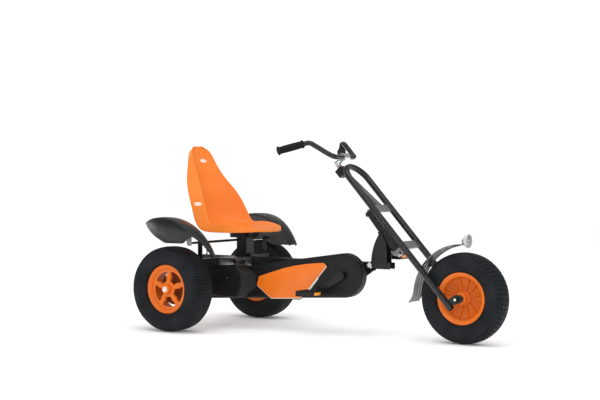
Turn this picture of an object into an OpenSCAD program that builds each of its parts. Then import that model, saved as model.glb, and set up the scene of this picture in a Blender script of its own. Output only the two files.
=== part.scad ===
// Three-wheeled pedal go-kart with a long raked fork, bucket seat and enclosed chain drive.
// The kart faces +X, up is +Z and the ground is z = 0 under the middle of the wheelbase.

/* [Overall] */
// Distance between the front and rear axles
wheelbase = 1375; // [1300:5:1650]
// Distance between the middles of the rear tyres
track = 722; // [700:2:880]
// Diameter of all three tyres
wheel_d = 407; // [380:1:490]

/* [Wheels] */
// Width of a rear tyre
rear_tyre_w = 154; // [128:1:160]
// Width of the front tyre
front_tyre_w = 114; // [95:1:120]
// Diameter of the rim flanges
rim_d = 234; // [200:1:260]
// Distance between the flanges of a rear rim
rear_rim_w = 96; // [80:1:110]
// Distance between the flanges of the front rim
front_rim_w = 82; // [70:1:92]
// Thickness of the tyre carcass
tyre_wall = 7; // [4:0.5:10]
// Diameter of the rear axle
axle_d = 25; // [20:0.5:30]
// Diameter of the front axle
front_axle_d = 15; // [12:0.5:18]
// Number of spokes in a rear rim
rear_spokes = 5; // [3:1:7]

/* [Frame] */
// Width of the main beam, which is also the diameter of the head tube
beam_w = 42; // [35:1:50]
// Height of the main beam
beam_h = 40; // [33:1:48]
// Height of the main beam's middle above the axles
beam_rise = 121.5; // [115:0.5:140]
// Wall thickness of the frame tubes
tube_wall = 2.5; // [2:0.25:4]
// Length of the beam behind the rear axle
beam_tail = 110; // [100:1:130]
// Diameter of the hitch hole through the beam's tail
hitch_d = 13; // [10:0.5:16]

/* [Drive] */
// Distance from the crank axle to the front axle
crank_setback = 583; // [560:1:620]
// Height of the crank axle above the wheel axles
crank_rise = 79; // [74:1:84]
// Length of a crank arm between its axes
crank_len = 152; // [127:1:165]
// Slope of the right crank arm below the horizontal, pointing back
crank_tilt = 32.6; // [0:0.2:60]
// Diameter of the crank axle
crank_d = 20; // [17:0.5:24]
// Teeth on the chainring, twice those on the rear sprocket
ring_teeth = 36; // [30:2:40]
// Distance from the kart's middle to the chain
chain_y = 67; // [64:0.5:70]
// Radius of the chain guard around the chainring
guard_front_r = 103; // [100:1:112]
// Radius of the chain guard around the rear sprocket
guard_rear_r = 68; // [64:1:74]
// Distance from the kart's middle to the middle of a pedal
pedal_y = 180; // [170:1:200]

/* [Fork] */
// Rake of the fork legs below the horizontal
fork_rake = 47.5; // [45:0.5:52]
// Rake of the steering axis below the horizontal
steer_rake = 50.5; // [48:0.5:54]
// Diameter of the fork tube
leg_d = 30; // [25:1:34]
// Distance between the middles of the fork legs
leg_span = 156; // [152:1:180]
// Distance of the front axle in front of the legs
leg_offset = 49; // [40:1:58]
// Length of the fork from the front axle to the top of its bend
fork_len = 834; // [720:2:900]
// Length of the head tube
head_len = 215; // [190:1:240]
// Diameter of the steering bolt
steer_bolt_d = 16; // [14:0.5:20]

/* [Handlebar] */
// Diameter of the handlebar tube
bar_d = 24; // [20:0.5:26]
// Length of the handlebar's straight middle
bar_mid = 184; // [150:2:220]
// Rise of the handlebar from its middle to its bends
bar_rise = 63; // [50:1:80]
// Diameter of a grip
grip_d = 34; // [30:0.5:38]

/* [Seat] */
// Height of the seat pan above the beam
seat_rise = 135; // [125:1:170]
// How far the shell sits behind its rail's datum
seat_set_back = 20; // [0:1:25]
// Thickness of the seat shell
seat_t = 5; // [4:0.5:6]
// Width of the seat shell
seat_w = 412; // [344:2:440]
// Side of the square seat mast
mast_w = 60; // [50:1:70]

/* [Fenders] */
// Radius of the rear fenders
fender_r = 290; // [280:1:320]
// Thickness of the fenders
fender_t = 3; // [2:0.5:4]
// Radius of the front fender
front_fender_r = 238; // [234:1:256]
// Width of the front fender
front_fender_w = 90; // [60:1:94]

/* [Hidden] */
$fn = 96;
e = 0.01;                                // a hair of overlap for cutting tools
fit = 0.05;                              // radial running clearance
gap = 0.3;                               // clearance between bodies that slide or pass
wheel_r = wheel_d / 2;
rear_x = -wheelbase / 2;
rim_r = rim_d / 2;
bead_r = rim_r - 15;                     // seat of the tyre's bead on the rim
axle_r = axle_d / 2;
rear_y = track / 2;

beam_z = beam_rise;                      // heights are measured from the axles
beam_top = beam_z + beam_h / 2;
beam_bottom = beam_z - beam_h / 2;
beam_side = beam_w / 2;
cross_x = [80, 120];                     // rear and front faces of the cross tube
cross_y = 272;                           // end of the cross tube
bracket_y = 228;                         // inner face of the axle brackets
bracket_t = 8;
axle_bearing_r = axle_r + 13.5;
axle_bearing_w = 15;

crank_x = wheelbase - crank_setback;
crank_z = crank_rise;
crank_r = crank_d / 2;
hanger_r = min(22, beam_bottom - crank_z);
crank_bearing_r = crank_r + 7;
guard_y = [45, 90];                      // inner and outer faces of the chain guard
guard_wall = 3;
guard_c = [[0, 0], [crank_x, crank_z]];
arm_y = [97, 109];                       // inner and outer faces of a crank arm
pitch = 12.7;                            // standard chain pitch
roller_r = 3.9;
ring_r = pitch / (2 * sin(180 / ring_teeth));
sprocket_teeth = ring_teeth / 2;
sprocket_r = pitch / (2 * sin(180 / sprocket_teeth));
chain_lean = atan2(crank_z, crank_x);
hub_r = axle_r + 5.5;                    // sleeve of the gear hub
cover_x = [-95, 254, 296];               // back, front corner and foot of the hub cover
cover_y = 150;
cover_z = [-48, beam_bottom];
carrier_x = [cross_x[1], 222];

// The fork's own plane: u runs down the legs, n stands square to them, from the front axle.
function fork_at(u, n) = [wheelbase + u * cos(fork_rake) + n * sin(fork_rake), 0,
                          -u * sin(fork_rake) + n * cos(fork_rake)];
leg_r = leg_d / 2;
leg_y = leg_span / 2;
leg_end = 16;                            // how far the legs run past the front axle
upper_u = -574;                          // upper and lower cross plates of the fork
lower_u = -354;
plate_h = 42;
plate_t = 6;

// The steering axis: t runs down it from the top of the head tube, b stands square to it.
steer_top = [wheelbase - 481.4, 364.2];
function steer_at(t, b) = [steer_top[0] + t * cos(steer_rake) + b * sin(steer_rake), 0,
                           steer_top[1] - t * sin(steer_rake) + b * cos(steer_rake)];
head_r = beam_side;
bolt_r = steer_bolt_d / 2;
ear_t = 15;
neck_t = 5;
neck_front = wheelbase - 389;
neck_rear = wheelbase - 495;
neck_y = beam_side;
beam_front = wheelbase - 470;

apex = fork_at(-fork_len, -leg_offset);
block_c = fork_at(-fork_len - 12, -leg_offset - 42);
bar_c = [apex[0] - 33, 0, apex[2] + 45];  // middle of the handlebar
bar_r = bar_d / 2;
bar_bend = [bar_c[0] - 79, bar_mid / 2 + 37, bar_c[2] + bar_rise];
bar_end = [bar_bend[0] - 90, bar_bend[1] + 120, bar_bend[2] - 40];

pan_z = beam_top + seat_rise;            // middle of the seat pan
mast_x = 165;
rail_x = [85, 262];
rail_w = 44;
rail_z = [pan_z - 36, pan_z - 22];
carriage_top = pan_z - 11;
fender_c = [-25, 51.5];                  // centre of the rear fenders' curve
fender_y = [300, 430];
post_y = 262;
bar_hole = [92, rail_z[0] - 21];         // the fender bar, in side view

// ---- Helpers ----

module kart() translate([rear_x, 0, wheel_r]) children();

// Stands a side-view outline (x, z) up and thickens it from y0 to y1.
module side_plate(y0, y1) {
    translate([0, y1, 0]) rotate([90, 0, 0]) linear_extrude(y1 - y0) children();
}

// A round bar between two points.
module rod(p, q, r) {
    v = q - p;
    h = norm(v);
    translate(p) rotate([0, acos(v[2] / h), atan2(v[1], v[0])]) cylinder(r = r, h = h);
}

// A round bar along Y at a side-view point.
module cross_rod(x, z, y0, y1, r) {
    translate([x, y1, z]) rotate([90, 0, 0]) cylinder(r = r, h = y1 - y0);
}

module both_sides() {
    children();
    mirror([0, 1, 0]) children();
}

// Outline of a belt around two discs, with true arcs. Its straight sides run a hair inside
// the tangents, so that they cross the arcs cleanly.
module belt(c1, r1, c2, r2) {
    d = norm(c2 - c1);
    lean = atan2(c2[1] - c1[1], c2[0] - c1[0]);
    a = acos((r1 - r2) / d);
    function tip(c, r, s) = c + 0.998 * r * [cos(lean + s * a), sin(lean + s * a)];
    translate(c1) circle(r1);
    translate(c2) circle(r2);
    polygon([tip(c1, r1, 1), tip(c1, r1, -1), tip(c2, r2, -1), tip(c2, r2, 1)]);
}

// A band t thick outside radius r, between two angles less than half a turn apart.
module arc_band(c, r, t, a0, a1) translate(c) intersection() {
    difference() {
        circle(r + t, $fn = 240);
        circle(r, $fn = 240);
    }
    polygon(concat([[0, 0]], [for (a = [a0, (a0 + a1) / 2, a1]) 2 * r * [cos(a), sin(a)]]));
}

// A rectangle with round corners, centred.
module round_rect(w, h, r) {
    square([w - 2 * r, h], center = true);
    square([w, h - 2 * r], center = true);
    for (x = [-1, 1], y = [-1, 1]) translate([x * (w / 2 - r), y * (h / 2 - r)]) circle(r);
}

module hex_head(af, h) cylinder(d = af / cos(30), h = h, $fn = 6);

// Puts children at the front wheel's axle, with X down the fork and Z square to it.
module fork_frame() {
    translate([wheelbase, 0, 0]) rotate([0, fork_rake, 0]) children();
}

// Puts children on the steering axis, with Z up it and the top of the head tube at z = 0.
module steer_frame() {
    translate([steer_top[0], 0, steer_top[1]]) rotate([0, steer_rake - 90, 0]) children();
}

// ---- Frame ----

module main_beam() color("#16181a") kart() difference() {
    translate([-beam_tail, -beam_side, beam_bottom])
        cube([beam_front + beam_tail, beam_w, beam_h]);
    translate([-beam_tail - e, tube_wall - beam_side, beam_bottom + tube_wall])
        cube([beam_front + beam_tail + 2 * e, beam_w - 2 * tube_wall, beam_h - 2 * tube_wall]);
    translate([15 - beam_tail, 0, beam_bottom - e]) cylinder(d = hitch_d, h = beam_h + 2 * e);
}

// Plastic plugs that close the beam's tail and the ends of the cross tube.
module tube_plugs() color("#0c0d0e") kart() {
    translate([-beam_tail - 3, -beam_side, beam_bottom]) cube([3, beam_w, beam_h]);
    translate([-beam_tail, tube_wall - beam_side, beam_bottom + tube_wall])
        cube([6, beam_w - 2 * tube_wall, beam_h - 2 * tube_wall]);
    both_sides() translate([cross_x[0], cross_y, beam_bottom])
        cube([cross_x[1] - cross_x[0], 3, beam_h]);
}

module rear_cross_tube() color("#2a2d30") kart() both_sides() difference() {
    translate([cross_x[0], beam_side, beam_bottom])
        cube([cross_x[1] - cross_x[0], cross_y - beam_side, beam_h]);
    translate([cross_x[0] + tube_wall, beam_side - e, beam_bottom + tube_wall])
        cube([cross_x[1] - cross_x[0] - 2 * tube_wall, cross_y, beam_h - 2 * tube_wall]);
}

module axle_brackets() color("#2a2d30") kart() both_sides() difference() {
    side_plate(bracket_y, bracket_y + bracket_t) {
        belt([0, 0], axle_bearing_r + 10, [cross_x[0] + 20, beam_bottom - 16], 15);
        translate([cross_x[0] + 5, beam_bottom - 16])
            square([cross_x[1] - cross_x[0] - 10, 16]);
    }
    cross_rod(0, 0, bracket_y - e, bracket_y + bracket_t + e, axle_bearing_r);
}

module ball_bearing(x, z, y0, y1, r_in, r_out) {
    translate([x, 0, z]) rotate([90, 0, 0]) rotate_extrude()
        translate([r_in, -y1]) square([r_out - r_in, y1 - y0]);
}

module frame_bearings() color("#b9bcc0") kart() {
    mid = bracket_y + bracket_t / 2;
    for (s = [-1, 1]) ball_bearing(0, 0, s * mid - axle_bearing_w / 2,
                                   s * mid + axle_bearing_w / 2,
                                   axle_r + fit, axle_bearing_r);
    ball_bearing(crank_x, crank_z, -guard_y[0], -guard_y[0] + 10, crank_r + fit, crank_bearing_r);
    ball_bearing(crank_x, crank_z, 24, 34, crank_r + fit, crank_bearing_r);
}

module crank_hanger() color("#16181a") kart() difference() {
    union() {
        cross_rod(crank_x, crank_z, -guard_y[0], 34, hanger_r);
        translate([crank_x - 18, -beam_side, crank_z]) cube([36, beam_w, beam_bottom - crank_z]);
    }
    cross_rod(crank_x, crank_z, -guard_y[0] - e, 34 + e, crank_bearing_r);
}

module guard_outline(inset) belt(guard_c[0], guard_rear_r - inset, guard_c[1],
                                 guard_front_r - inset);

module guard_half(y0, y1, skin0, skin1) difference() {
    side_plate(y0, y1) guard_outline(0);
    side_plate(skin0, skin1) guard_outline(guard_wall);
    cross_rod(crank_x, crank_z, y0 - e, y1 + e, crank_r + 3);
    cross_rod(0, 0, y0 - e, y1 + e, hub_r + 2);
}

module guard_inner() color("#17191b") kart()
    guard_half(-chain_y, -guard_y[0], -chain_y - e, -guard_y[0] - guard_wall);

module guard_outer() color("#17191b") kart()
    guard_half(-guard_y[1], -chain_y, guard_wall - guard_y[1], e - chain_y);

// Shield on the guard, its width tied to the space between the hub cover and the crank.
module guard_panel() color("#f08a1d") kart() {
    x0 = cover_x[2] + 7;
    w = crank_x - 89 - x0;
    side_plate(-guard_y[1] - 3, -guard_y[1]) intersection() {
        polygon([for (p = [[0.033, 56], [0, 13], [0.208, -45], [0.623, -36], [0.73, 2],
                           [1, 120], [0.96, 150], [0.033, 150]]) [x0 + p[0] * w, p[1]]]);
        translate([x0 + 0.96 * w, 135 - 2.6 * w]) circle(2.6 * w, $fn = 360);
    }
}

module cover_solid(inset) intersection() {
    translate([0, 0, cover_z[0] + inset])
        linear_extrude(cover_z[1] - cover_z[0] - 2 * inset) polygon([
            [cover_x[0] + inset, -guard_y[1]], [cover_x[0] + inset, inset - cover_y],
            [cover_x[1] - inset, inset - cover_y], [cover_x[2] - inset, -guard_y[1]]]);
    side_plate(-cover_y - e, -guard_y[1]) polygon([
        [cover_x[0] + inset, cover_z[0] + 30], [cover_x[0] + 40, cover_z[0] + inset],
        [cover_x[2] - 60, cover_z[0] + inset], [cover_x[2] + e, cover_z[0] + 45],
        [cover_x[2] + e, cover_z[1] - 35], [cover_x[2] - 60, cover_z[1] - inset],
        [cover_x[0] + inset, cover_z[1] - inset]]);
}

module hub_cover() color("#1b1d1f") kart() difference() {
    cover_solid(0);
    translate([0, e, 0]) cover_solid(guard_wall);
    cross_rod(0, 0, -cover_y - e, -guard_y[1] + e, axle_r + 1);
}

module cover_screws() color("#d9dbde") kart() {
    cross_rod(117, 48, -cover_y - 6, -cover_y, 11);
    cross_rod(168, 48, -cover_y - 3, -cover_y, 4.5);
    for (a = [-75, 95]) cross_rod(crank_x + (guard_front_r - 12) * cos(a),
                                  crank_z + (guard_front_r - 12) * sin(a),
                                  -guard_y[1] - 3, -guard_y[1], 4);
    for (z = [-30, 92]) cross_rod(cover_x[2] + 24, z, -guard_y[1] - 3, -guard_y[1], 4);
    translate([carrier_x[1], 35 - cover_y, beam_z + 2]) rotate([0, 90, 0])
        hex_head(17, 20);
}

// Open channel that hangs the hub cover and braces the cross tube to the beam.
module axle_carrier() color("#6d7175") kart() difference() {
    translate([carrier_x[0], -cover_y, cover_z[1]])
        cube([carrier_x[1] - carrier_x[0], cover_y - beam_side, beam_top - cover_z[1]]);
    translate([carrier_x[0] + 3, -cover_y - e, cover_z[1] - e])
        cube([carrier_x[1] - carrier_x[0] - 6, cover_y - beam_side + 2 * e,
              beam_top - cover_z[1] - 3]);
}

// A point at an angle on a chain wheel, counted from the line between the two wheels.
function on(c, r, ang) = c + r * [cos(chain_lean + ang), sin(chain_lean + ang)];

// Side plates of the chain, with a roller at every second pin.
module drive_chain() color("#8d8f92") kart() {
    d = norm(guard_c[1]);
    a = acos((sprocket_r - ring_r) / d);
    ring_step = 720 / ring_teeth;
    hub_step = 720 / sprocket_teeth;
    ring_pins = [for (k = [-ring_teeth / 4 : ring_teeth / 4])
                 if (abs(k * ring_step) < a - 4) on(guard_c[1], ring_r, k * ring_step)];
    hub_pins = [for (k = [0 : sprocket_teeth / 2 - 1])
                if (abs(k * hub_step - 180) < 176 - a) on(guard_c[0], sprocket_r, k * hub_step)];
    runs = floor(d / (2 * pitch)) - 1;
    run_pins = [for (s = [-1, 1], k = [2 : runs - 2]) let (f = k / runs)
                on(guard_c[0], sprocket_r, s * a) * (1 - f) + on(guard_c[1], ring_r, s * a) * f];
    for (y = [-chain_y - 6.5, -chain_y + 5]) side_plate(y, y + 1.5) difference() {
        belt(guard_c[0], sprocket_r + 5.5, guard_c[1], ring_r + 5.5);
        belt(guard_c[0], sprocket_r - 5.5, guard_c[1], ring_r - 5.5);
    }
    for (p = concat(ring_pins, hub_pins, run_pins))
        cross_rod(p[0], p[1], -chain_y - 6, -chain_y + 6, roller_r, $fn = 16);
}

module neck_outline() {
    top = steer_at(95, -head_r + 4);
    mid = steer_at(95, 0);
    low = steer_at(head_len - 45, 0);
    // the rear edge is an arc that leans forward as it climbs
    r = 250;
    arc_c = [neck_rear + 26 + r, beam_top - 6];
    polygon(concat(
        [[neck_rear, beam_bottom + 11], [neck_front + 18, beam_bottom + 11],
         [neck_front + 18, beam_top], [neck_front, beam_top], [neck_front, low[2]],
         [mid[0], mid[2]], [top[0], top[2]]],
        [for (a = [147 : 4 : 179]) arc_c + r * [cos(a), sin(a)]],
        [[neck_rear, beam_top]]));
}

module neck_plates() color("#202225") kart() both_sides()
    side_plate(neck_y, neck_y + neck_t) neck_outline();

module head_tube() color("#1a1c1e") kart() steer_frame() difference() {
    translate([0, 0, -head_len]) cylinder(r = head_r, h = head_len);
    translate([0, 0, -head_len - e]) cylinder(r = head_r - 3, h = head_len + 2 * e);
}

module head_bushes() color("#c9a24a") kart() steer_frame() for (z = [-22, 2 - head_len])
    translate([0, 0, z]) difference() {
        cylinder(r = head_r - 3, h = 20);
        translate([0, 0, -e]) cylinder(r = bolt_r + fit, h = 20 + 2 * e);
    }

// Bolt through the neck, with its eyelet spacer on the chain side.
module neck_bolt() color("#c4c7ca") kart() {
    x = neck_rear + 24;
    cross_rod(x, beam_bottom + 26, -neck_y - neck_t - 17, -neck_y - neck_t, 14);
    cross_rod(x, beam_bottom + 26, -neck_y - neck_t - 25, -neck_y - neck_t - 17, 7);
    cross_rod(x, beam_bottom + 26, neck_y + neck_t, neck_y + neck_t + 8, 10);
}

module seat_mast() color("#25282b") kart() {
    translate([mast_x - mast_w / 2, -mast_w / 2, beam_top])
        cube([mast_w, mast_w, rail_z[0] - beam_top - 6]);
    translate([rail_x[0] + 10, -30, rail_z[0] - 6]) cube([rail_x[1] - rail_x[0] - 20, 60, 6]);
    for (s = [-1, 1]) translate([mast_x + s * (mast_w / 2 + 9) - 9, -beam_side, beam_top])
        cube([18, beam_w, 14]);
}

// Rail with grooved flanks that the carriage grips.
module seat_rail() color("#8f9296") kart() difference() {
    translate([rail_x[0], -rail_w / 2, rail_z[0]])
        cube([rail_x[1] - rail_x[0], rail_w, rail_z[1] - rail_z[0]]);
    for (s = [-1, 1]) translate([rail_x[0] - e, s * (rail_w / 2 - 2.5) - 2.6, rail_z[0] + 4])
        cube([rail_x[1] - rail_x[0] + 2 * e, 5.2, 5]);
}

module fender_stays() color("#1c1e20") kart() difference() {
    union() {
        both_sides() translate([bar_hole[0] - 12, post_y, beam_top])
            cube([24, 6, bar_hole[1] + 14 - beam_top]);
        cross_rod(bar_hole[0], bar_hole[1], -fender_y[0], fender_y[0], 6);
        translate([bar_hole[0], -8, bar_hole[1] - 4])
            cube([mast_x - mast_w / 2 - bar_hole[0], 16, 8]);
    }
    translate([mast_x - mast_w / 2, -20, bar_hole[1] - 20]) cube(40);
}

// Zinc gussets from the ends of the bar to the crowns of the fenders.
module fender_brackets() color("#c5c8cb") kart() both_sides() difference() {
    side_plate(fender_y[0], fender_y[0] + 5) intersection() {
        polygon([[bar_hole[0] - 12, bar_hole[1] - 12], [bar_hole[0] + 12, bar_hole[1] - 12],
                 [bar_hole[0] + 12, bar_hole[1] + 120], [bar_hole[0] - 48, bar_hole[1] + 120]]);
        translate(fender_c) circle(fender_r - fender_t);
    }
    cross_rod(bar_hole[0], bar_hole[1], fender_y[0] - e, fender_y[0] + 2, 6);
}

// Rear fender on the +Y side: a crown, an outer skirt and, if apron is true, a front apron.
module fender(apron) {
    tail = fender_c + [-86, 252];
    crown_cut = [[-160, 500], tail + [-30, 40], tail + [0, 5], tail + [22, -20], [0, 200],
                 [fender_r - 100, 80], [fender_c[0] + 240, fender_c[1] + 60],
                 [fender_c[0] + 400, fender_c[1] + 40], [400, 500]];
    // crown
    side_plate(fender_y[0], fender_y[1]) intersection() {
        difference() {
            translate(fender_c) circle(fender_r, $fn = 180);
            translate(fender_c) circle(fender_r - fender_t, $fn = 180);
        }
        polygon(crown_cut);
    }
    // outer skirt
    side_plate(fender_y[1] - fender_t, fender_y[1]) intersection() {
        translate(fender_c) circle(fender_r - fender_t, $fn = 180);
        polygon([tail, tail + [38, -52], tail + [118, -80], tail + [250, -80],
                 tail + [280, -20], tail + [200, 60], tail + [0, 60]]);
    }
    if (apron) side_plate(fender_y[1] - 60, fender_y[1] - 60 + fender_t) intersection() {
        translate(fender_c) circle(fender_r - fender_t, $fn = 180);
        polygon([[20, 260], [60, wheel_r + 12], [105, wheel_r - 15],
                 [148, fender_c[1] + 108], [300, fender_c[1] + 108], [300, 300], [20, 300]]);
    }
}

module fender_right() color("#1d1f22") kart() mirror([0, 1, 0]) fender(false);

module fender_left() color("#1d1f22") kart() fender(true);

// Bent rod on the beam's tail, used to lift and tow the kart.
module tow_loop() color("#54585c") kart() translate([50 - beam_tail, 0, beam_top]) {
    for (s = [-1, 1]) translate([s * 16, 0, 0]) cylinder(r = 4, h = 22);
    translate([0, 0, 22]) rotate([90, 0, 0]) rotate_extrude(angle = 180)
        translate([16, 0]) circle(4);
}

// ---- Seat ----

module seat_carriage() color("#6a6e72") kart() {
    x0 = rail_x[0] + 25;
    len = rail_x[1] - rail_x[0] - 50;
    side = rail_w / 2 + gap;
    translate([x0, -side - 4, rail_z[1] + gap]) cube([len, 2 * side + 8, 7]);
    both_sides() {
        translate([x0, side, rail_z[0] + 4.6]) cube([len, 4, rail_z[1] - rail_z[0] - 4]);
        translate([x0, side - 3.5, rail_z[0] + 4.6]) cube([len, 3.6, 3.4]);
    }
    for (x = [x0 + 15, x0 + len - 15]) translate([x - 12, -62, rail_z[1] + gap + 7])
        cube([24, 124, carriage_top - rail_z[1] - gap - 7]);
}

// Stations of the shell from the front lip to the top: middle x and z, edge x and z, and
// half width as a share of the full half width. Heights are above the pan's middle.
seat_stations = [
    [362, 8, 322, 14, 0.62], [335, 5, 300, 14, 0.73], [270, 2, 250, 30, 0.84],
    [200, 0, 185, 49, 0.91], [130, 0, 135, 38, 0.95], [70, 1, 98, 25, 0.965],
    [25, 13, 72, 36, 0.975], [-10, 43, 52, 61, 0.985], [-30, 88, 36, 98, 1],
    [-45, 143, 25, 140, 1], [-60, 198, -8, 192, 0.95], [-80, 253, -46, 250, 0.73],
    [-97, 308, -68, 298, 0.59], [-110, 358, -82, 343, 0.485], [-116, 393, -95, 380, 0.34],
    [-118, 401, -112, 396, 0.17]];
seat_cols = 14;

function seat_mid(i) = [seat_stations[i][0], seat_stations[i][1]];
// Direction square to the shell's middle line, pointing out of the back of the shell.
function seat_out(i) = let (n = len(seat_stations) - 1,
                            t = seat_mid(min(i + 1, n)) - seat_mid(max(i - 1, 0)))
                       [t[1], -t[0]] / -norm(t);
function seat_point(i, j, depth) = let (s = seat_stations[i], u = 2 * j / seat_cols - 1,
                                        k = pow(abs(u), 3), o = seat_out(i))
    [s[0] + (s[2] - s[0]) * k + depth * o[0], u * s[4] * seat_w / 2,
     s[1] + (s[3] - s[1]) * k + depth * o[1]];

// Index of a shell point: side 0 faces the rider, i runs along the shell and j across it.
function at(side, i, j) = (side * len(seat_stations) + i) * (seat_cols + 1) + j;

module seat_shell() color("#f28c1e") kart() translate([-seat_set_back, 0, pan_z]) {
    n = len(seat_stations);
    m = seat_cols + 1;
    points = [for (d = [0, seat_t], i = [0 : n - 1], j = [0 : m - 1]) seat_point(i, j, d)];
    faces = concat(
        [for (i = [0 : n - 2], j = [0 : m - 2]) each [
            [at(0, i, j), at(0, i + 1, j), at(0, i + 1, j + 1)],
            [at(0, i, j), at(0, i + 1, j + 1), at(0, i, j + 1)],
            [at(1, i, j), at(1, i + 1, j + 1), at(1, i + 1, j)],
            [at(1, i, j), at(1, i, j + 1), at(1, i + 1, j + 1)]]],
        [for (i = [0 : n - 2]) each [
            [at(0, i, 0), at(1, i, 0), at(1, i + 1, 0)],
            [at(0, i, 0), at(1, i + 1, 0), at(0, i + 1, 0)],
            [at(0, i, m - 1), at(1, i + 1, m - 1), at(1, i, m - 1)],
            [at(0, i, m - 1), at(0, i + 1, m - 1), at(1, i + 1, m - 1)]]],
        [for (j = [0 : m - 2]) each [
            [at(0, 0, j), at(1, 0, j + 1), at(1, 0, j)],
            [at(0, 0, j), at(0, 0, j + 1), at(1, 0, j + 1)],
            [at(0, n - 1, j), at(1, n - 1, j), at(1, n - 1, j + 1)],
            [at(0, n - 1, j), at(1, n - 1, j + 1), at(0, n - 1, j + 1)]]]);
    polyhedron(points, faces);
}

module seat_bolts() color("#aeb2b6") kart() {
    x0 = rail_x[0] + 40;
    x1 = rail_x[1] - 40;
    for (x = [x0, x1], y = [-48, 48]) translate([x, y, carriage_top])
        cylinder(r = 9, h = pan_z - seat_t - carriage_top + 2);
}

// Clamp lever on the right flank of the carriage.
module seat_lever() color("#0d0e0f") kart() {
    z = (rail_z[0] + rail_z[1]) / 2 + 2;
    y0 = rail_w / 2 + gap + 4 + gap;
    cross_rod(mast_x + 20, z, -y0 - 12, -y0, 8);
    side_plate(-y0 - 12, -y0 - 5) belt([mast_x + 20, z], 7.5, [mast_x - 38, z + 4], 5);
}

// ---- Crank and pedals ----

function crank_tip(s) = [crank_x - s * crank_len * cos(crank_tilt),
                         crank_z - s * crank_len * sin(crank_tilt)];

module crank_axle() color("#9a9da1") kart()
    cross_rod(crank_x, crank_z, -arm_y[1] - 2, arm_y[1] + 2, crank_r);

module crank_arm(tip, y0, y1) difference() {
    side_plate(y0, y1) belt([crank_x, crank_z], crank_r + 8, tip, 13);
    cross_rod(crank_x, crank_z, y0 - e, y1 + e, crank_r);
    cross_rod(tip[0], tip[1], y0 - e, y1 + e, 6);
}

module crank_arms() color("#222527") kart() {
    crank_arm(crank_tip(1), -arm_y[1], -arm_y[0]);
    crank_arm(crank_tip(-1), arm_y[0], arm_y[1]);
}

module pedal_spindles() color("#b4b7ba") kart() for (s = [-1, 1]) {
    tip = crank_tip(-s);
    mirror([0, s < 0 ? 1 : 0, 0]) {
        cross_rod(tip[0], tip[1], arm_y[0], pedal_y + 44, 6);
        cross_rod(tip[0], tip[1], arm_y[1], arm_y[1] + 4, 10);
    }
}

module tooth_wheel(teeth, r, turn) {
    circle(r - roller_r - 0.4);
    for (k = [0 : teeth - 1]) rotate(turn + (k + 0.5) * 360 / teeth)
        polygon([[r - roller_r - 2, -2], [r - 1, -1.6], [r + 3, -0.7], [r + 3, 0.7],
                 [r - 1, 1.6], [r - roller_r - 2, 2]]);
}

module chainring() color("#7d8084") kart() difference() {
    union() {
        translate([crank_x, 0, crank_z]) side_plate(-chain_y - 1.5, -chain_y + 1.5)
            difference() {
                tooth_wheel(ring_teeth, ring_r, chain_lean);
                for (k = [0 : 4]) rotate(72 * k) translate([ring_r * 0.58, 0])
                    circle(ring_r * 0.22);
            }
        cross_rod(crank_x, crank_z, -chain_y - 8, -chain_y + 8, crank_r + 8);
    }
    cross_rod(crank_x, crank_z, -guard_y[1], -guard_y[0], crank_r);
}

// Pedal body on the +Y side: a treaded block with two windows.
module pedal(tip) {
    y0 = arm_y[1] + 5;
    y1 = pedal_y + 42;
    difference() {
        union() {
            translate([tip[0] - 46, y0 + 21, tip[1] - 12]) cube([92, y1 - y0 - 21, 24]);
            cross_rod(tip[0], tip[1], y0, y1, 11);
        }
        for (x = [-1, 1]) translate([tip[0] + x * 28 - 10, y0 + 33, tip[1] - 12 - e])
            cube([20, y1 - y0 - 45, 24 + 2 * e]);
        cross_rod(tip[0], tip[1], y0 - e, pedal_y + 44 + gap, 6 + fit);
    }
}

module pedal_right() color("#101112") kart() mirror([0, 1, 0]) pedal(crank_tip(1));

module pedal_left() color("#101112") kart() pedal(crank_tip(-1));

// ---- Rear axle and wheels ----

// Brake and freewheel hub with the driven sprocket, free to turn on the axle.
module gear_hub() color("#74777b") kart() {
    side_plate(-chain_y - 1.5, -chain_y + 1.5) difference() {
        tooth_wheel(sprocket_teeth, sprocket_r, chain_lean);
        circle(axle_r + fit);
    }
    rotate([90, 0, 0]) rotate_extrude() difference() {
        union() {
            square([hub_r, cover_y - 8]);
            translate([0, guard_y[1] + 6]) square([min(44, -cover_z[0] - 6), 46]);
        }
        square([axle_r + fit, cover_y]);
        translate([0, -e]) square([hub_r + 1, chain_y - 8]);
        translate([axle_r + fit, chain_y - 1.5]) square([hub_r, 3]);
    }
}

module rear_axle() color("#a5a8ab") kart()
    cross_rod(0, 0, -rear_y - 52, rear_y + 52, axle_r);

// Section of a rim that is closed on its outer face, for a wheel centred on y = 0.
module rim_section(w, hub_w, bore) {
    translate([bead_r - 5, -w / 2]) square([5, w]);
    for (s = [-1, 1]) translate([bead_r - 5, s * (w / 2 - 2) - 2])
        square([rim_r - bead_r + 5, 4]);
    translate([bore, -hub_w / 2]) square([14, hub_w]);
}

// A tyre with round shoulders, a hollow carcass and two beads, on a rim w wide.
module tyre(width, w) rotate([90, 0, 0]) rotate_extrude($fn = 180) {
    h = wheel_r - bead_r;
    mid = (wheel_r + bead_r) / 2;
    shoulder = min(width, h) * 0.42;
    seat = w / 2 - 4;                    // inner face of a flange
    intersection() {
        translate([mid, 0]) round_rect(h, width, shoulder);
        union() {
            difference() {
                translate([rim_r + 7, -width]) square([wheel_r, 2 * width]);
                translate([mid - tyre_wall, 0])
                    round_rect(h, width - 2 * tyre_wall, shoulder - tyre_wall / 2);
            }
            for (m = [0, 1]) mirror([0, m]) {
                translate([bead_r, seat - 14]) square([rim_r + 8 - bead_r, 14]);
                translate([rim_r, seat - 14]) square([8, width]);
            }
        }
    }
}

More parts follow.
